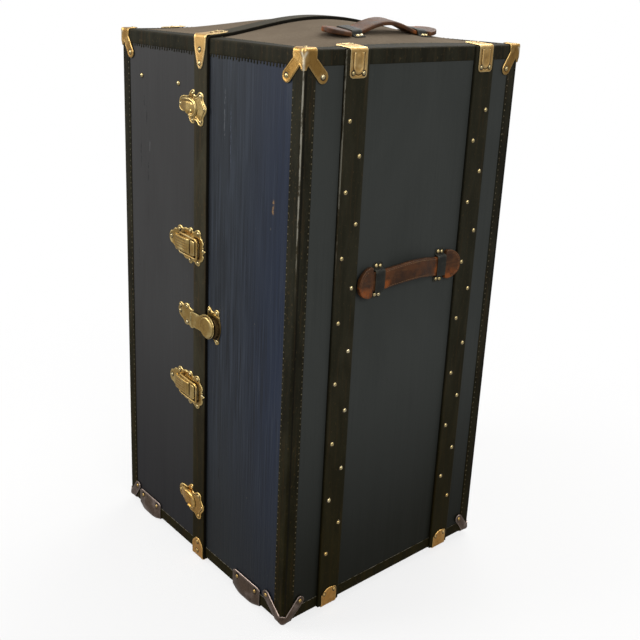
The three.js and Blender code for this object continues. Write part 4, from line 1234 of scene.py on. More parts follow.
# ------------------------------------------------------------------ corners
def leg_end(sx, sz, half):
    L = math.hypot(sx, sz)
    ux, uz = sx / L, sz / L
    px, pz = -uz, ux
    out = []
    for i in range(13):
        t = -math.pi / 2 + math.pi * i / 12
        out.append((sx + half * (math.cos(t) * ux + math.sin(t) * px), sz + half * (math.cos(t) * uz + math.sin(t) * pz)))
    return out


def corner(top, legF, legR, half, cap, rv):
    """Three-sided cap with a slanting leg on each upright face, laid out at the front right."""
    p = Part()
    o = 1.8
    thick = T_SHEET if top else T_SHEET + 0.6
    wr = Wrap(f=o, b=o, l=o, r=o, t=o, d=o, rad=3.6 if top else 5.5)
    zf = H + o if top else -o
    regs = {}
    for face, leg in (("F", legF), ("R", legR)):
        end = leg_end(*leg, half)
        if top:
            shape = [(-o, -o), (cap, -o), (cap + 0.5, 4), (cap, 12)] + end + [(6.6, 23.6), (4.6, 26), (3.4, 29.3), (-o, 30.5)]
        else:
            shape = [(-o, -o), (cap, -o), (cap, 3)] + end + [(5, 13.5), (2, 15), (-o, 16)]
        pts = []
        for a, b in shape:
            z = H - b if top else b
            pts.append((W - a, z) if face == "F" else (a, z))
        pts[0] = (W + o, zf) if face == "F" else (-o, zf)
        pts[1] = (pts[1][0], zf)
        pts[-1] = (W + o, pts[-1][1]) if face == "F" else (-o, pts[-1][1])
        regs[face] = pts
    c = cap
    tf = "T" if top else "D"
    regs[tf] = [(W + o, -o), (W + o, c), (W - c * 0.45, c + 1.5), (W - c - 1.5, c * 0.45), (W - c, -o)]

    def dist_line(a, b, p0, p1):
        return seg_dist(np.stack([a, b], 1), [(np.array(p0, float), np.array(p1, float))])

    def h(face, a, b, d):
        k = np.full(len(a), thick)
        if face == tf:
            return k + (0.5 * np.exp(-((d - 3.0) / 0.9) ** 2) if top else 0)
        leg = legF if face == "F" else legR
        da = (W - a) if face == "F" else a
        db = (H - b) if top else b
        if top:
            # ridge down the upright edge, opening into a small triangle at the top
            run = np.clip((29 - db) / 8, 0, 1)
            k = k + 1.9 * np.exp(-((da + o) / (2.2 + 3.4 * np.clip((10 - db) / 8, 0, 1))) ** 2) * run
            k = k + 0.35 * np.exp(-((d - 2.2) / 0.8) ** 2)
            k = k - 0.45 * np.exp(-(((da - leg[0]) ** 2 + (db - leg[1]) ** 2) / 30.0))
        else:
            L = math.hypot(*leg)
            dl = dist_line(da, db, (0, 0), leg)
            k = k + 1.1 * np.exp(-(dl / (half * 0.55)) ** 2) * np.clip((L - np.hypot(da, db)) / 12, 0, 1)
            k = k - 0.3 * np.exp(-(((da - leg[0]) ** 2 + (db - leg[1]) ** 2) / 22.0))
        return k
    wrap(p, wr, regs, h, pitch=1.15)
    q = Part()
    for face, leg in (("F", legF), ("R", legR)):
        a = W - leg[0] if face == "F" else leg[0]
        b = H - leg[1] if top else leg[1]
        rivet(q, at(face, a, b, o + thick - 0.35), FN[face], 3.6 if top else 3.4, 2.0)
    if top:
        rivet(q, at("T", W - 13, 13, o + thick), top_normal(W - 13, 13), 3.0, 1.5)
    return p, q


def put_corner(top, legF, legR, rear, left):
    half, cap = (10.5, 23) if top else (9.3, 19)
    p, q = corner(top, legF, legR, half, cap, 0)
    if left or rear:
        p, q = p.mirror(mx=left, my=rear), q.mirror(mx=left, my=rear)
    name = ("top" if top else "bottom") + "_corner_" + ("rear" if rear else "front") + "_" + ("left" if left else "right")
    side = "left" if left else "right"
    nails[side].add(np.concatenate(q.v), q.f, q.m)
    ob = p.build(name + "_pressed", side + "_half", "brass" if top else "steel", [TOPB if top else STEEL], replaces=[name], angle=55, curv=2.6)
    if top:
        # painted highlight: a pale Y along the ridge of each top corner, stored as rubbed values
        v = np.concatenate(p.v)
        across = np.abs(np.minimum(v[:, 0], W - v[:, 0]) - np.minimum(v[:, 1], D - v[:, 1]))
        a = ob.data.attributes.new("rubbed", "FLOAT", "POINT")
        arm = 5.5 * np.clip((v[:, 2] - H + 12) / 9, 0, 1)
        a.data.foreach_set("value", (0.85 * np.exp(-(((across - arm) / 2.4) ** 2)) * np.clip((H - 1 - v[:, 2]) / 3, 0, 1)).astype(np.float32))


put_corner(True, (36, 40), (36, 40), False, False)
put_corner(True, (30, 41), (36, 40), False, True)
put_corner(True, (36, 40), (30, 41), True, False)
put_corner(True, (30, 41), (30, 41), True, True)
put_corner(False, (45, 35), (37, 34), False, False)
put_corner(False, (30, 34), (37, 34), False, True)
put_corner(False, (45, 35), (31, 34), True, False)
put_corner(False, (30, 34), (31, 34), True, True)


# ------------------------------------------------------------------ glides
def glide(cx):
    p = Part()
    o = 1.8
    deep = -FLOOR - o - T_SHEET
    rings = []
    for u in np.linspace(-1, 1, 57):
        a = abs(u)
        b = 1.0 if a <= 0.25 else math.cos(math.pi / 2 * (a - 0.25) / 0.75) ** 1.2
        x = cx + 41 * u
        zt = 33 - 4 * max(0, (a - 0.8) / 0.2) ** 2
        outer = [(40, -o - T_SHEET), (35, -o - T_SHEET - deep * b * 0.35), (30, -o - T_SHEET - deep * b * 0.8), (27, -o - T_SHEET - deep * b * 0.96), (24, -o - T_SHEET - deep * b), (15, -o - T_SHEET - deep * b), (6, -o - T_SHEET - deep * b),
                 (2.0, -o - T_SHEET - deep * b * 0.95), (-2 - 2 * b, -o - T_SHEET - deep * b * 0.7), (-o - T_SHEET - 3.8 * b, -2.0 - 4.5 * b), (-o - T_SHEET - 4.5 * b, 1 - 3 * b), (-o - T_SHEET - 4.4 * b, 5), (-o - T_SHEET - 3.6 * b, 10), (-o - T_SHEET - 2.2 * b, 15), (-o - T_SHEET - 0.9 * b, 20), (-o - T_SHEET, 25), (-o - T_SHEET, zt - 0.8), (-o - 0.5 * T_SHEET, zt)]
        inner = [(-o, zt), (-o, -o), (40, -o)]
        rings.append([(x, y, z) for y, z in outer + inner])
    loft(p, rings)
    q = Part()
    for s in (-1, 1):
        rivet(q, (cx + 27 * s, -o - T_SHEET - 0.3, 22), (0, -1, 0), 3.4, 2.0)
    return p, q


for side, cx in (("left", 81.0), ("right", 425.6)):
    for rear in (False, True):
        p, q = glide(cx)
        if rear:
            p, q = p.mirror(my=True), q.mirror(my=True)
        nails[side].add(np.concatenate(q.v), q.f, q.m)
        node = f"glide_{'rear' if rear else 'front'}_{side}"
        p.build(node + "_pressed", side + "_half", "steel", [STEEL], replaces=[node], angle=50, curv=2.5)

# ------------------------------------------------------------------ dowels
STRIP_TOP = 6.3
for tag, zc in (("lower", 110.0), ("upper", 883.0)):
    p = Part()
    pl = [(197.5, 6), (197.5, -4), (202, -10.5), (208, -12), (216, -12), (225, -16), (230, -24), (236, -29.5), (243, -29), (247, -24), (249.2, -19), (249.2, 19), (248, 25), (243.5, 29.5), (237, 29), (231, 24), (226, 18), (218, 17), (209, 16.5), (201, 13)]
    core = [(min(a, 249.2), b) for a, b in closed_spline([(a, b + zc) for a, b in pl], 4)]

    def h(a, b, d):
        return np.full(len(a), 1.7) + 0.6 * np.exp(-((d - 1.8) / 0.7) ** 2)
    relief(p, "F", core, h, 0.3, 1.0)
    # raised tongue, low at its tail, with a bead along its top and nose round a sunk field
    tg = [(206, 9), (205.5, 2), (207, -5.5), (213, -8), (222, -10), (231, -13.5), (240, -16.5), (249, -17), (257, -14), (262, -8), (262.8, 0), (259.5, 8), (252, 13.5), (243, 16), (230, 16), (216, 14.5), (208, 12)]
    tongue = closed_spline([(a, b + zc) for a, b in tg], 4)
    nose = [(np.array(q, float), np.array(r, float)) for q, r in zip([(a, zc + b) for a, b in tg[6:16]], [(a, zc + b) for a, b in tg[7:17]])]

    def ht(a, b, d):
        rise = np.clip((a - 205) / 24, 0, 1) ** 0.8
        dn = seg_dist(np.stack([a, b], 1), nose)
        k = 3.4 + 5.4 * rise
        k = k + (0.5 + 1.3 * rise) * np.exp(-((dn - 2.6) / 1.5) ** 2)
        k = k - 1.0 * rise * np.exp(-((dn - 7.0) / 1.6) ** 2)
        k = k + 0.8 * np.exp(-((a - 244) ** 2 + (b - zc + 7) ** 2) / 7.0)
        return np.minimum(np.where(a > 249.2, np.maximum(k, 9.0), k), 10.7)
    relief(p, "F", tongue, ht, lambda a, b: np.where(a < 249.3, 1.0, 8.35), 0.9, soft=1.2)
    p.build(f"{tag}_dowel_pressed", "left_half", "brass", [BRASS], replaces=[f"{tag}_dowel"], angle=50, curv=3.0)
    for a, b in ((241.2, 22.8), (240.4, -23.4), (202.6, 1.0)):
        rivet(nails["left"], at("F", a, zc + b, 1.6), FN["F"], 3.0, 2.1)
    p = Part()
    sk = [(250.6, -20), (257, -22), (262, -24), (266, -28), (272, -30), (278.5, -27.5), (281, -22), (281, -16), (284, -11), (288, -6), (290, 0), (288, 6), (284, 11), (281, 16), (281, 22), (278.5, 26.5), (272, 28.5), (266, 27), (262, 23), (257, 21.5), (250.6, 20)]
    out = [(max(a, 250.6), b) for a, b in closed_spline([(a, zc + b) for a, b in sk], 4)]

    def hs(a, b, d):
        k = np.full(len(a), STRIP_TOP + 1.3)
        k = k + 0.65 * np.exp(-((d - 1.9) / 0.8) ** 2) + 0.6 * np.exp(-((d - 6.0) / 0.9) ** 2) * (a > 256) - 0.35 * np.exp(-((d - 4.0) / 0.8) ** 2)
        return np.where(a < 264, np.minimum(k, STRIP_TOP + 1.7), k)
    relief(p, "F", out, hs, STRIP_TOP, 1.0)
    p.build(f"{tag}_dowel_socket_pressed", "right_half", "brass", [BRASS], replaces=[f"{tag}_dowel_socket"], angle=50, curv=3.0)
    for a, b in ((273.2, 21.2), (284.6, 0.4), (272.8, -22.6)):
        rivet(nails["right"], at("F", a, zc + b, STRIP_TOP + 1.2), FN["F"], 3.0, 2.1)

# ------------------------------------------------------------------ draw catches
for tag, zc in (("lower", 349.0), ("upper", 632.0)):
    p = Part()
    pl = [(163, 4), (163.5, -4), (168, -10), (173, -11.5), (179, -14), (185, -20), (191, -19.5), (198, -25), (205, -23.5), (211, -26), (218, -30), (226, -29.5), (232, -35.5), (239, -33), (242, -26), (248, -25)]
    pl += [(248, 25), (242, 26), (240, 31), (233, 33), (226, 29.5), (217, 29.5), (209, 27), (202, 30), (194, 28.5), (189, 22), (181, 20.5), (174, 14.5), (167, 12.5)]
    out = closed_spline([(a, zc + b) for a, b in pl], 4)
    out = [(min(a, 249.2), b) for a, b in out]

    def hb(a, b, d):
        k = np.full(len(a), 1.7) + 0.5 * np.exp(-((d - 2.2) / 0.8) ** 2)
        return k - 0.25 * np.clip((d - 4) / 3, 0, 1)
    relief(p, "F", out, hb, 0.3, 1.1)
    # pivot housing, low behind the lever and lapping over the strip
    hz = [(-13.3, 0.9), (-12.9, 0.3), (-12.1, 0)] + [(z, 0) for z in (-6, 0, 6)] + [(12.1, 0), (12.9, 0.3), (13.3, 0.9)]
    prof = [(243.6, -1.0), (243.6, -8.3), (245.2, -9.9), (248.2, -12.1), (249.2, -12.4), (259.2, -12.4), (260.5, -12.0), (261, -11.2), (261, -8.3), (249.4, -8.3), (249.2, -1.0)]
    cxy = np.mean(prof, 0)
    rings = [[(cxy[0] + (x - cxy[0]) * (1 - i / 9), cxy[1] + (y - cxy[1]) * (1 - i / 9), zc + z) for x, y in prof] for z, i in hz]
    loft(p, rings)
    p.build(f"{tag}_catch_base_pressed", "left_half", "brass", [BRASS], replaces=[f"{tag}_catch_base"], angle=45, curv=2.5)
    for a, b in ((198.2, 22.6), (233.6, 26.2), (198.4, -18.6), (232.8, -29.0), (170.5, 2.8)):
        rivet(nails["left"], at("F", a, zc + b, 1.6), FN["F"], 3.1, 2.1)

    # lever plate, ribbed along its length, turning on the housing side
    lx, ly, lr = 238.5, -8.0, 4.2
    xs = [191.2, 191.0, 191.5, 192.8, 194.8, 197.5, 200.5, 204, 208, 212, 216, 220, 226, 232, 236, 238.5]
    fy = [-3.4, -5.6, -7.4, -8.7, -9.4, -9.9, -10.2, -10.6, -11.0, -11.35, -11.7, -12.0, -12.15, -12.2, -12.2, -12.2]
    zz = np.array([-16, -15.8, -15.2, -14.2, -13, -11.5, -10.5, -9, -7.5, -6, -4.5, -3, -1.5, 0, 1.5, 3, 4.5, 6, 7.5, 9, 10.5, 11.5, 13, 14.2, 15.2, 15.8, 16])
    squeeze = 13.3 / 16
    rings = []
    for z in zz:
        e = abs(z)
        drop = 0 if e < 14 else 0.9 * ((e - 14) / 2) ** 2
        rib = 0.35 * math.cos(2 * math.pi * z / 6.0) if e < 12.5 else 0.55 * math.exp(-((e - 13.6) / 0.8) ** 2)
        ring = []
        for x, y in zip(xs, fy):
            fade = min(1, max(0, (x - 193) / 6)) * min(1, max(0, (236 - x) / 5))
            ring.append((x, min(y + drop - (rib - 0.35) * fade, -2.8), zc + z * squeeze))
        for k in range(1, 7):
            t = -math.pi / 2 + math.pi * k / 6
            r2 = lr - drop * 0.7
            ring.append((lx + r2 * math.cos(t), ly + r2 * math.sin(t), zc + z * squeeze))
        ring += [(230, -3.0, zc + z * squeeze), (204, -2.7, zc + z * squeeze)]
        rings.append(ring)
    p = Part()
    loft(p, rings)
    p.build(f"{tag}_catch_lever_ribbed", f"{tag}_lever", "brass", [BRASS], replaces=[f"{tag}_catch_lever"], angle=45, curv=2.2)

    # bail of bent wire
    bx, by, wire = 206.0, -6.6, 1.95
    bary, barx = -6.3 - 1.4 - 0.9 - 1.7 - 1.2, 269.0
    half = [(bx, by, 13.8), (bx, by, 15.5), (bx + 0.8, by, 17.3), (bx + 3.2, by - 0.3, 18.2), (bx + 12, by - 1.6, 18.25), (barx - 14, bary + 0.6, 18.25), (barx - 6, bary + 0.1, 18.1), (barx - 2.2, bary, 17.0), (barx - 0.3, bary, 14.6), (barx, bary, 11)]
    path = [(x, y, zc + z) for x, y, z in half] + [(x, y, zc - z) for x, y, z in reversed(half)]
    p = Part()
    tube(p, open_spline(path, 5), wire, 12)
    p.build(f"{tag}_catch_bail_wire", f"{tag}_bail", "brass", [WIREM], replaces=[f"{tag}_catch_bail"], angle=60, curv=1.0)

    # keeper plate with its lip
    p = Part()
    kp = [(250.7, -22), (256, -26.5), (261, -30), (267.5, -31.5), (272.5, -28), (274.5, -22.5), (280, -19.5), (284, -13), (282.5, -6.5), (289.2, 0), (282.5, 7), (284, 13), (280, 20), (275, 24.5), (274, 31.5), (269, 36), (262, 35), (256, 31), (250.7, 25)]
    out = closed_spline([(a, zc + b) for a, b in kp], 4)
    out = [(max(a, 250.7), b) for a, b in out]

    def hk(a, b, d):
        return np.full(len(a), STRIP_TOP + 1.3) + 0.5 * np.exp(-((d - 2.0) / 0.8) ** 2)
    relief(p, "F", out, hk, STRIP_TOP, 1.1)
    box_piece(p, 265.2, 270.4, -STRIP_TOP - 2.1, -STRIP_TOP - 0.3, zc - 12, zc + 12, 0.5)
    p.build(f"{tag}_catch_keeper_pressed", "right_half", "brass", [BRASS], replaces=[f"{tag}_catch_keeper"], angle=45, curv=2.5)
    for a, b in ((267.6, 29.4), (283.6, 0.8), (267.4, -25.2)):
        rivet(nails["right"], at("F", a, zc + b, STRIP_TOP + 1.2), FN["F"], 3.0, 2.1)

# ------------------------------------------------------------------ hasp lock
zc = 495.0
hx, hy, hr = 246.5, -7.4, 2.6
p = Part()
pl = [(195, 9), (193.8, 4), (195, -3), (198.5, -9), (204, -12), (211, -15.5), (217, -21), (223, -22.5), (229, -20.5), (235, -23.5), (242, -23.5), (246, -18), (249.2, -12), (249.2, 12), (240, 13.5), (232, 15), (228, 19.5), (222, 21), (216, 19), (211, 15.5), (206, 17.5), (200, 17.5), (196, 14)]
out = [(min(a, 249.2), b) for a, b in closed_spline([(a, zc + b) for a, b in pl], 4)]
relief(p, "F", out, lambda a, b, d: 1.7 + 0.5 * np.exp(-((d - 2.0) / 0.7) ** 2), 0.3, 1.0)
for o in (-11.5, 6.5):
    rings = []
    for z, k in ((0, 0.86), (0.35, 1), (4.65, 1), (5.0, 0.86)):
        rings.append([(hx + hr * k * math.cos(t), hy + hr * k * math.sin(t), zc + o + z) for t in np.arange(20) * 2 * math.pi / 20])
    loft(p, rings)
    rings = [[(hx + x, y, zc + o + z) for x, y in ((-2.4, -1.2), (-2.4, hy), (2.4, hy), (2.4, -1.2))] for z in (0.1, 4.9)]
    loft(p, rings)
rings = [[(hx + 1.0 * math.cos(t), hy + 1.0 * math.sin(t), zc + z) for t in np.arange(14) * 2 * math.pi / 14] for z in (-11.6, 11.6)]
loft(p, rings)
p.build("hasp_plate_pressed", "left_half", "brass", [BRASS], replaces=["hasp_plate"], angle=45, curv=2.5)
for a, b in ((201.7, 11.4), (200.6, 0.2), (222.6, 14.4), (223.6, -15.9), (239.0, -17.4)):
    rivet(nails["left"], at("F", a, zc + b, 1.6), FN["F"], 3.1, 2.1)

p = Part()
y0 = STRIP_TOP + T_SHEET + 0.5
arm = [(249.7, 5.5), (249.7, 13.2), (256, 14.6), (266, 14.8), (276, 14.6), (283, 18.5), (290, 21.6), (300, 22.4), (309, 20), (316, 14.5), (320.5, 6), (321.5, -3), (319, -11.5), (313, -18.5), (305, -22.2), (297, -22.2), (290, -19.6), (283, -15.6), (276, -14.2), (266, -14.6), (256, -14.4), (249.7, -13), (249.7, -5.5), (249.1, 0)]
arm = [(max(a, 249.1), b) for a, b in closed_spline([(a, zc + b) for a, b in arm], 3)]


def ha(a, b, d):
    k = np.full(len(a), y0 + 2.0)
    k = k + 0.35 * np.exp(-((d - 1.8) / 0.8) ** 2)
    r = np.hypot(a - 300.5, b - (zc - 0.4))
    k = np.where(r < 19.8, np.maximum(k, 13.2 - 3.0 * np.clip((r - 18.0) / 1.8, 0, 1) ** 2 + 0.22 * np.exp(-((r - 16.6) / 1.0) ** 2)), k)
    return k - 0.45 * np.exp(-((r - 20.6) / 0.7) ** 2) - 0.25 * np.exp(-((a - 253.5) / 1.0) ** 2)


relief(p, "F", arm, ha, y0, 0.85)
kn = []
for z, k in ((-5.8, 0.86), (-5.4, 1), (5.4, 1), (5.8, 0.86)):
    kn.append([(hx + hr * k * math.cos(t), hy + hr * k * math.sin(t), zc + z) for t in np.arange(20) * 2 * math.pi / 20])
loft(p, kn)
loft(p, [[(x, y, zc + z) for x, y in ((hx, -y0 + 1.2), (hx, -y0 - 1.8), (hx + 4.6, -y0 - 1.8), (hx + 4.6, -y0))] for z in (-5.6, 5.6)])
p.build("hasp_arm_pressed", "hasp", "brass", [BRASS], replaces=["hasp"], angle=45, curv=2.5)

p = Part()
lk = [(290, 24), (289.6, 32), (294, 36.5), (299.5, 34), (304, 31), (311, 31), (315, 35.5), (320.5, 37), (325.5, 33.5), (325.5, 26), (328, 19), (331, 10), (331.5, 2), (330.5, -6), (327.5, -13), (325.5, -19), (325.5, -26), (321, -30), (315.5, -28.5), (310, -23.5), (301, -22), (294, -21.5), (289.6, -18), (290, -10), (290, 10)]
lk = [(max(a, 289.6), b) for a, b in closed_spline([(max(a, 289.6), zc + b) for a, b in lk], 4)]


def hl(a, b, d):
    k = np.full(len(a), 1.7) + 0.6 * np.exp(-((d - 1.8) / 0.7) ** 2)
    r = np.hypot(a - 309.5, b - (zc - 0.5))
    return np.maximum(k, np.where(r < 18.8, 6.6 - 0.9 * np.clip((r - 16.8) / 1.6, 0, 1) ** 2, 0))


relief(p, "F", lk, hl, 0.3, 0.95)
# painted shadow: the drum under the hasp head and the right part of the plate are darkened
p.build("lock_case_pressed", "right_half", "brass", [BRASS], replaces=["lock_case"], angle=40, curv=2.0,
        soil=lambda v: np.maximum(1.0 * (np.hypot(v[:, 0] - 309.5, v[:, 2] - zc + 0.5) < 20.8), 0.4 * (np.abs(v[:, 2] - zc) < 22) * (v[:, 0] > 305)))
for a, b in ((295.6, 29.4), (319.6, 30.6), (320.4, -23.4)):
    rivet(nails["right"], at("F", a, zc + b, 1.6), FN["F"], 3.2, 2.2)

# ------------------------------------------------------------------ handles
HY0, HY1 = 127.7, 382.0
HZ, THX = 615.0, 430.0
LOOP_Y = [180.5, 336.0]
LIFT = 13.0


def side_map(u, y, n):
    return np.array([W + n, y, HZ + u])


def top_map(u, y, n):
    return np.array([THX + u, y, H + float(crown(THX + u, y)) + n + 0.1])


def strap(m, rise, name, node):
    p = Part()
    lo, hi = LOOP_Y[0] + 12, LOOP_Y[1] - 12
    ys = np.concatenate([HY0 + np.array([0, 0.5, 1.2, 2.2, 3.6, 5.5, 8, 11, 14.5, 18.5, 23, 27.5, 31, 33.5, 35.4, 36.8, 37.6, 38.6, 40]),
                         np.linspace(HY0 + 44, lo, 6), np.linspace(lo, hi, 42)[1:], np.linspace(hi, HY1 - 40.5, 6)[1:],
                         HY1 - np.array([36.8, 35.2, 34.2, 33.2, 32, 30, 27, 23, 18.5, 14.5, 11, 8, 5.5, 3.6, 2.2, 1.2, 0.5, 0])])
    rings = []
    rub = []
    for y in ys:
        e = min(y - HY0, HY1 - y)
        first = y - HY0 < HY1 - y
        step = 37.0 if first else 33.7
        k = min(max((e - step) / 1.8 + 0.5, 0), 1)
        pad = 27.5 * math.sqrt(max(0.012, 1 - ((step - 5 - min(e, step - 5)) / (step - 5)) ** 2))
        pad -= 2.5 * max(0, (e - (step - 6)) / 6) ** 2 if e < step else 0
        half = pad * (1 - k) + 17.4 * k
        f = 0 if y <= lo or y >= hi else math.sin(math.pi * (y - lo) / (hi - lo)) ** 1.2
        tip = 6 * max(0, 1 - e / step)
        th = 8 - 1.0 * k
        th *= 0.35 + 0.65 * min(1, math.sqrt(e / 3.0)) if e < 3 else 1
        n0 = 1.0 + tip + LIFT * f + (8 - th) * 0.35 * (e < 3)
        u0 = rise * f
        rr = min(2.4, half * 0.4)
        sec = [(-1, 0.3), (-1, 0.7), (-0.985, 0.86), (-0.95, 0.95), (-0.88, 1.0), (-0.6, 1.03), (-0.3, 1.05), (0, 1.055), (0.3, 1.05), (0.6, 1.03), (0.88, 1.0), (0.95, 0.95), (0.985, 0.86), (1, 0.7), (1, 0.3), (0.985, 0.12), (0.93, 0.02), (0.6, 0), (0, 0), (-0.6, 0), (-0.93, 0.02), (-0.985, 0.12)]
        ring = []
        for u, q in sec:
            groove = 0.0
            if q > 0.9 and e > 4:
                dd = half * (1 - abs(u))
                groove = 0.25 * math.exp(-((dd - 3.2) / 0.8) ** 2)
            ring.append(m(u0 + u * half, y, n0 + th * q - groove))
            low = max(0.0, -u) if e < step else 0
            rub.append(min(1.0, 1.2 * low * (e < step) + 0.9 * math.exp(-((y - lo - 3) / 9) ** 2) * (0.4 + 0.6 * (u < 0)) + 0.7 * math.exp(-((y - hi + 2) / 7) ** 2)))
        rings.append(ring)
    loft(p, rings)
    ob = p.build(name, "right_half", "handle_leather", [HLEA], replaces=[node], angle=55, curv=2.0)
    a = ob.data.attributes.new("rubbed", "FLOAT", "POINT")
    a.data.foreach_set("value", np.array(rub, np.float32))
    # saddle stitches along both edges
    s = Part()
    y = HY0 + 44
    while y < HY1 - 42:
        if not any(abs(y - l) < 13.5 for l in LOOP_Y):
            f = 0 if y <= lo or y >= hi else math.sin(math.pi * (y - lo) / (hi - lo)) ** 1.2
            for sg in (-1, 1):
                u = rise * f + sg * (17.4 - 3.2)
                pts = []
                for t in np.linspace(-1.5, 1.5, 5):
                    yy = y + t
                    f2 = 0 if yy <= lo or yy >= hi else math.sin(math.pi * (yy - lo) / (hi - lo)) ** 1.2
                    pts.append(m(rise * f2 + sg * 14.2, yy, 1.0 + LIFT * f2 + 7 * 1.02 - 0.1 + 0.25 * (1 - (t / 1.5) ** 2)))
                tube(s, pts, [0.16, 0.34, 0.4, 0.34, 0.16], 6, up=(0, 0, 1) if m is side_map else (1, 0, 0))
        y += 4.2
    for first in (True, False):
        step = 37.0 if first else 33.7
        for w in np.linspace(-1.05, 1.05, 15):
            # round the half-moon end of each pad
            e = (step - 5) * (1 - math.cos(w)) + 4.2
            uu = 23.6 * math.sin(w)
            tip = 6 * max(0, 1 - e / step)
            yy = HY0 + e if first else HY1 - e
            c = m(uu, yy, 1.0 + tip + 8 * 1.02 - 0.05)
            dv = m(uu + 1.4 * math.cos(w), yy + (1 if first else -1) * 1.4 * math.sin(w), 1.0 + tip + 8 * 1.02 - 0.05) - c
            pts = [c - dv, c - dv * 0.5, c, c + dv * 0.5, c + dv]
            nrm = np.array([1.0, 0, 0]) if m is side_map else np.array([0, 0, 1.0])
            pts[2] = pts[2] + nrm * 0.2
            tube(s, pts, [0.16, 0.32, 0.38, 0.32, 0.16], 6, up=tuple(nrm))
    s.build(name + "_stitches", "right_half", "handle_leather", [THREAD], angle=60)


def loop(m, yc, name, node):
    """Leather keeper over the strap, with a nailed foot on each side."""
    p = Part()
    t, top = 1.6, 8.7
    mid = [(-31, 0.3), (-28, 0.3), (-24, 0.3), (-21.6, 0.6), (-19.9, 2.4), (-19.2, 5), (-18.2, 7.6), (-16, top), (-9, top + 0.1), (0, top + 0.15), (9, top + 0.1), (16, top), (18.2, 7.6), (19.2, 5), (19.9, 2.4), (21.6, 0.6), (24, 0.3), (28, 0.3), (31, 0.3)]
    mid = open_spline(mid, 2)
    tg = np.gradient(mid, axis=0)
    nn = np.stack([-tg[:, 1], tg[:, 0]], 1)
    nn /= np.linalg.norm(nn, axis=1)[:, None]
    K = len(mid)
    rings = []
    prof = [(-1, 0.15), (-1, 0.8), (-0.93, 1.0), (-0.5, 1.03), (0, 1.05), (0.5, 1.03), (0.93, 1.0), (1, 0.8), (1, 0.15), (0.9, 0), (-0.9, 0)]
    for k in range(K):
        e = min(k, K - 1 - k)
        wid = 11.0 * (0.86 if e == 0 else 0.96 if e == 1 else 1)
        rings.append([m(mid[k, 0] + nn[k, 0] * t * q, yc + s * wid, mid[k, 1] + nn[k, 1] * t * q) for s, q in prof])
    loft(p, rings)
    p.build(name, "right_half", "loop_leather", [LLEA], replaces=[node], angle=60, curv=2.5)


for kind, m, rise in (("side", side_map, 10.0), ("top", top_map, 0.0)):
    strap(m, rise, f"{kind}_handle_strap_stitched", f"{kind}_handle_strap")
    for i, y in enumerate(LOOP_Y):
        w = "rear" if i else "front"
        loop(m, y, f"{kind}_handle_loop_{w}_folded", f"{kind}_handle_loop_{w}")
        for s in (-1, 1):
            for dy in (-4.8, 4.6):
                P = m(s * 25.6 + (0.8 if dy < 0 else -0.6), y + dy, 2.0)
                n = FN["R"] if kind == "side" else top_normal(THX, y)
                dome(nails["right"], P, n, 3.7, 2.6)

# ------------------------------------------------------------------ hinge
def bevel(ob, w, seg=2, mats=None):
    md = ob.modifiers.new("edge", "BEVEL")
    md.width = w / 1000
    md.segments = seg
    md.limit_method = "ANGLE"
    md.angle_limit = math.radians(35)
    md.harden_normals = False


def dress(node, mats, w=0.4, seg=2):
    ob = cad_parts[node]
    ob.data.materials.clear()
    for m in mats:
        ob.data.materials.append(m)
    bevel(ob, w, seg)
    return ob


dress("hinge_leaf_left", [STEEL], 0.25)
dress("hinge_leaf_right", [STEEL], 0.25)
screws = {"left": Part(), "right": Part()}


def screw(part, P, N, r=3.4):
    """Countersunk screw head with a slot."""
    u, v, n = frame_of(N)
    a = rng.uniform(0, math.pi)
    s = math.cos(a) * u + math.sin(a) * v
    t = np.cross(n, s)
    P = np.array(P, float)
    for sg in (-1, 1):
        # two half heads either side of the slot
        ring0, ring1, ring2 = [], [], []
        for w in np.linspace(-math.pi / 2, math.pi / 2, 9):
            d = math.cos(w) * sg * t + math.sin(w) * s
            for ring, rr, hh in ((ring0, r, -0.3), (ring1, r, 0.15), (ring2, 0.75 * r, 0.5)):
                ring.append(P + d * rr + sg * t * 0.35 + n * hh)
        loft(part, [ring0, ring1, ring2])


zl, zh = mm("hinge_leaf_left")[0][2], mm("hinge_leaf_left")[1][2]
for k in range(9):
    z = zl + (zh - zl) * (k + 0.5) / 9
    for dz in (-28, 28):
        screw(screws["left"], at("B", 219 + (6 if dz < 0 else -5), z + dz, 1.7), FN["B"])
        screw(screws["right"], at("B", 272 + (6 if dz < 0 else -5), z + dz, 7.7), FN["B"])
for side in ("left", "right"):
    screws[side].build(f"hinge_screws_{side}", side + "_half", "steel", [STEEL], angle=40)

# ------------------------------------------------------------------ fittings inside
dress("drawer_cabinet", [CABM], 0.8)
for k in range(1, 5):
    dress(f"drawer_{k}", [DRAWERM], 0.9)
dress("hanging_rail", [PLATED], 0.6)
fl = Part()
for y, n in ((9.4, (0, 1, 0)), (D - 9.4, (0, -1, 0))):
    lathe(fl, (385, y, 935), n, [(19, -0.1), (19, 1.2), (17.5, 2.0), (12.5, 2.4), (11, 5.5), (9.6, 6.2), (0, 6.3)], 36)
    for k in range(3):
        t = math.radians(90 + 120 * k)
        rivet(fl, (385 + 14.8 * math.cos(t), y + n[1] * 2.2, 935 + 14.8 * math.sin(t)), n, 2.0, 0.9, 10)
fl.build("hanging_rail_flanges", "right_half", "rail", [PLATED], angle=40, curv=2.0)

# ------------------------------------------------------------------ heads
for side in ("left", "right"):
    tacks[side].build(f"binding_tacks_{side}", side + "_half", "brass", [TACKM], angle=60)
    # second material: the dark collar round each head, grime with a painted shadow
    nails[side].build(f"nails_and_rivets_{side}", side + "_half", "brass", [BRIGHT, GRIME_AND_SHADOW], angle=60, curv=0.5)

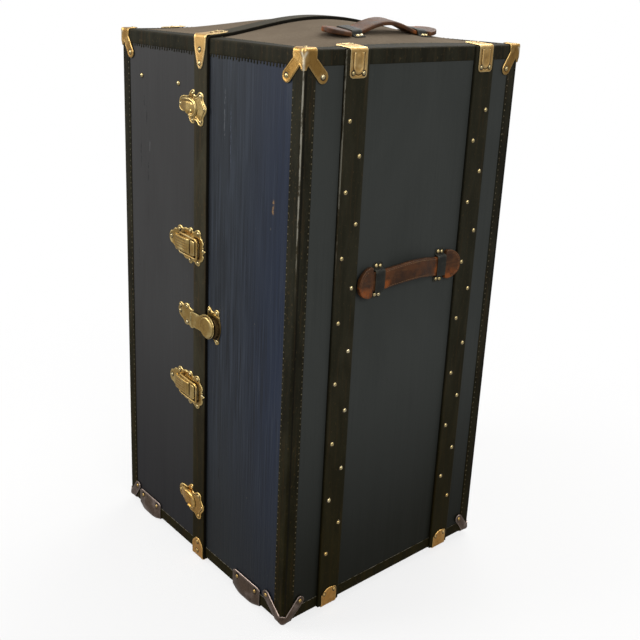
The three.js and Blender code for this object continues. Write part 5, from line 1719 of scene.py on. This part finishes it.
# ------------------------------------------------------------------ grime and painted shade where pieces meet
def closeness(reach=7.0, rays=18):
    """Point attribute near on the metal pieces: how much of the air above a point its neighbours fill, used as grime
    with painted shade.
    """
    from mathutils.bvhtree import BVHTree
    vs, fs, n = [], [], 0
    for ob in PIECES:
        me = ob.data
        if any(k in ob.name for k in ("tacks", "stitches", "drawer", "case_covered")):
            continue
        co = np.zeros(len(me.vertices) * 3)
        me.vertices.foreach_get("co", co)
        vs.append(co.reshape(-1, 3) * 1000)
        fs += [tuple(i + n for i in q.vertices) for q in me.polygons]
        n += len(me.vertices)
    tree = BVHTree.FromPolygons(np.concatenate(vs).tolist(), fs)
    g = math.pi * (3 - math.sqrt(5))
    local = []
    for i in range(rays):
        z = math.sqrt(1 - (i + 0.5) / rays * 0.94)
        r = math.sqrt(1 - z * z)
        local.append((r * math.cos(g * i), r * math.sin(g * i), z))
    for ob in PIECES:
        me = ob.data
        if not me.materials or me.materials[0] not in (BRASS, SATIN, TOPB, WIREM, STEEL):
            continue
        out = []
        for v in me.vertices:
            nrm = v.normal
            if nrm.length < 0.5:
                out.append(0.0)
                continue
            u = nrm.orthogonal().normalized()
            w = nrm.cross(u)
            p0 = v.co * 1000 + nrm * 0.25
            t = 0.0
            for a, b, c in local:
                hit = tree.ray_cast(p0, u * a + w * b + nrm * c, reach)
                if hit[3] is not None:
                    t += 1 - 0.6 * hit[3] / reach
            out.append(t / rays)
        at_ = me.attributes.new("near", "FLOAT", "POINT")
        at_.data.foreach_set("value", np.array(out, np.float32))


closeness()

# ------------------------------------------------------------------ floor, light, camera
me = bpy.data.meshes.new("floor")
me.from_pydata([(-60, -60, 0), (60, -60, 0), (60, 60, 0), (-60, 60, 0)], [], [(0, 1, 2, 3)])
fl_ob = bpy.data.objects.new("floor", me)
bpy.context.scene.collection.objects.link(fl_ob)
n = Net("floor_pale")
fn = n.noise(n.obj, 1.5, 3, 0.5)
n.finish(n.mix(fn, (0.86, 0.86, 0.86), (0.9, 0.9, 0.9)), 0.7, 0, None, 0.2)
ox, oy = n.xyz()[0], n.xyz()[1]
far = n.step(n.math("SQRT", n.add(n.mul(ox, ox), n.mul(oy, oy))), 0.3, 1.5)
clear = n.t.nodes.new("ShaderNodeBsdfTransparent")
blend = n.t.nodes.new("ShaderNodeMixShader")
n.put(blend.inputs[0], n.add(n.mul(far, 0.22), 0.78))
n.t.links.new(n.out.inputs["Surface"].links[0].from_socket, blend.inputs[1])
n.t.links.new(clear.outputs[0], blend.inputs[2])
n.t.links.new(blend.outputs[0], n.out.inputs["Surface"])
me.materials.append(n.m)
fl_ob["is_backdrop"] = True

world = bpy.data.worlds.new("studio")
bpy.context.scene.world = world
world.use_nodes = True
wt = world.node_tree
bg = wt.nodes["Background"]
bg.inputs[0].default_value = (1.0, 1.0, 1.0, 1)
lp = wt.nodes.new("ShaderNodeLightPath")


def wmap(sock, lo, hi, a, b):
    n = wt.nodes.new("ShaderNodeMapRange")
    for k, v in (("From Min", lo), ("From Max", hi)):
        n.inputs[k].default_value = v
    for k, v in (("To Min", a), ("To Max", b)):
        if hasattr(v, "is_output"):
            wt.links.new(v, n.inputs[k])
        else:
            n.inputs[k].default_value = v
    wt.links.new(sock, n.inputs["Value"])
    return n.outputs["Result"]


wc = wt.nodes.new("ShaderNodeTexCoord")
ws = wt.nodes.new("ShaderNodeSeparateXYZ")
wt.links.new(wc.outputs["Generated"], ws.inputs[0])
shine = wmap(ws.outputs[2], -0.05, 0.85, 0.3, 1.15)
glow = wmap(lp.outputs["Is Glossy Ray"], 0, 1, 0.36, shine)
wt.links.new(wmap(lp.outputs["Is Camera Ray"], 0, 1, glow, 1.0), bg.inputs[1])


def area(name, loc, target, size, power, color=(1, 1, 1)):
    d = bpy.data.lights.new(name, "AREA")
    d.shape = "RECTANGLE"
    d.size, d.size_y = size
    d.energy = power
    d.color = color
    o = bpy.data.objects.new(name, d)
    bpy.context.scene.collection.objects.link(o)
    o.location = loc
    o.rotation_euler = (Vector(target) - Vector(loc)).to_track_quat("-Z", "Y").to_euler()
    return o


area("window", (-1.6, -2.6, 2.0), (0, 0, 0.6), (1.6, 2.2), 74, (1.0, 0.99, 0.98))
area("fill", (2.8, -0.6, 2.2), (0, 0, 0.6), (2.0, 2.0), 36, (1.0, 0.98, 0.95))
area("overhead", (-0.4, 1.6, 3.0), (0, 0, 1.0), (2.4, 1.6), 60, (1.0, 0.98, 0.95))


def camera(az, el, roll, px, py, f, cx, cy, cz):
    a, e, s = math.radians(az), math.radians(el), math.radians(roll)
    back = Vector((math.sin(a) * math.cos(e), -math.cos(a) * math.cos(e), math.sin(e)))
    right = Vector((math.cos(a), math.sin(a), 0))
    up = back.cross(right)
    r2 = math.cos(s) * right + math.sin(s) * up
    u2 = -math.sin(s) * right + math.cos(s) * up
    m = Matrix((r2, u2, back)).transposed().to_4x4()
    m.translation = Vector((cx, cy, cz)) + Vector(ORG)
    d = bpy.data.cameras.new("view")
    d.sensor_width = 36
    d.lens = f * 36 / 640
    d.shift_x = (320 - px) / 640
    d.shift_y = -(320 - py) / 640
    d.clip_start, d.clip_end = 0.05, 200
    o = bpy.data.objects.new("view", d)
    o.matrix_world = m
    bpy.context.scene.collection.objects.link(o)
    bpy.context.scene.camera = o


camera(50.41, 17.27, 2.00, 284.6, 260.5, 885.8, 1.535, -0.854, 1.089)
bpy.context.scene.view_settings.view_transform = "Standard"

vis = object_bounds()
as_list = lambda b: [[float(c) for c in q] for q in b]
{"cad": as_list(cad_box), "visual": as_list(vis)}
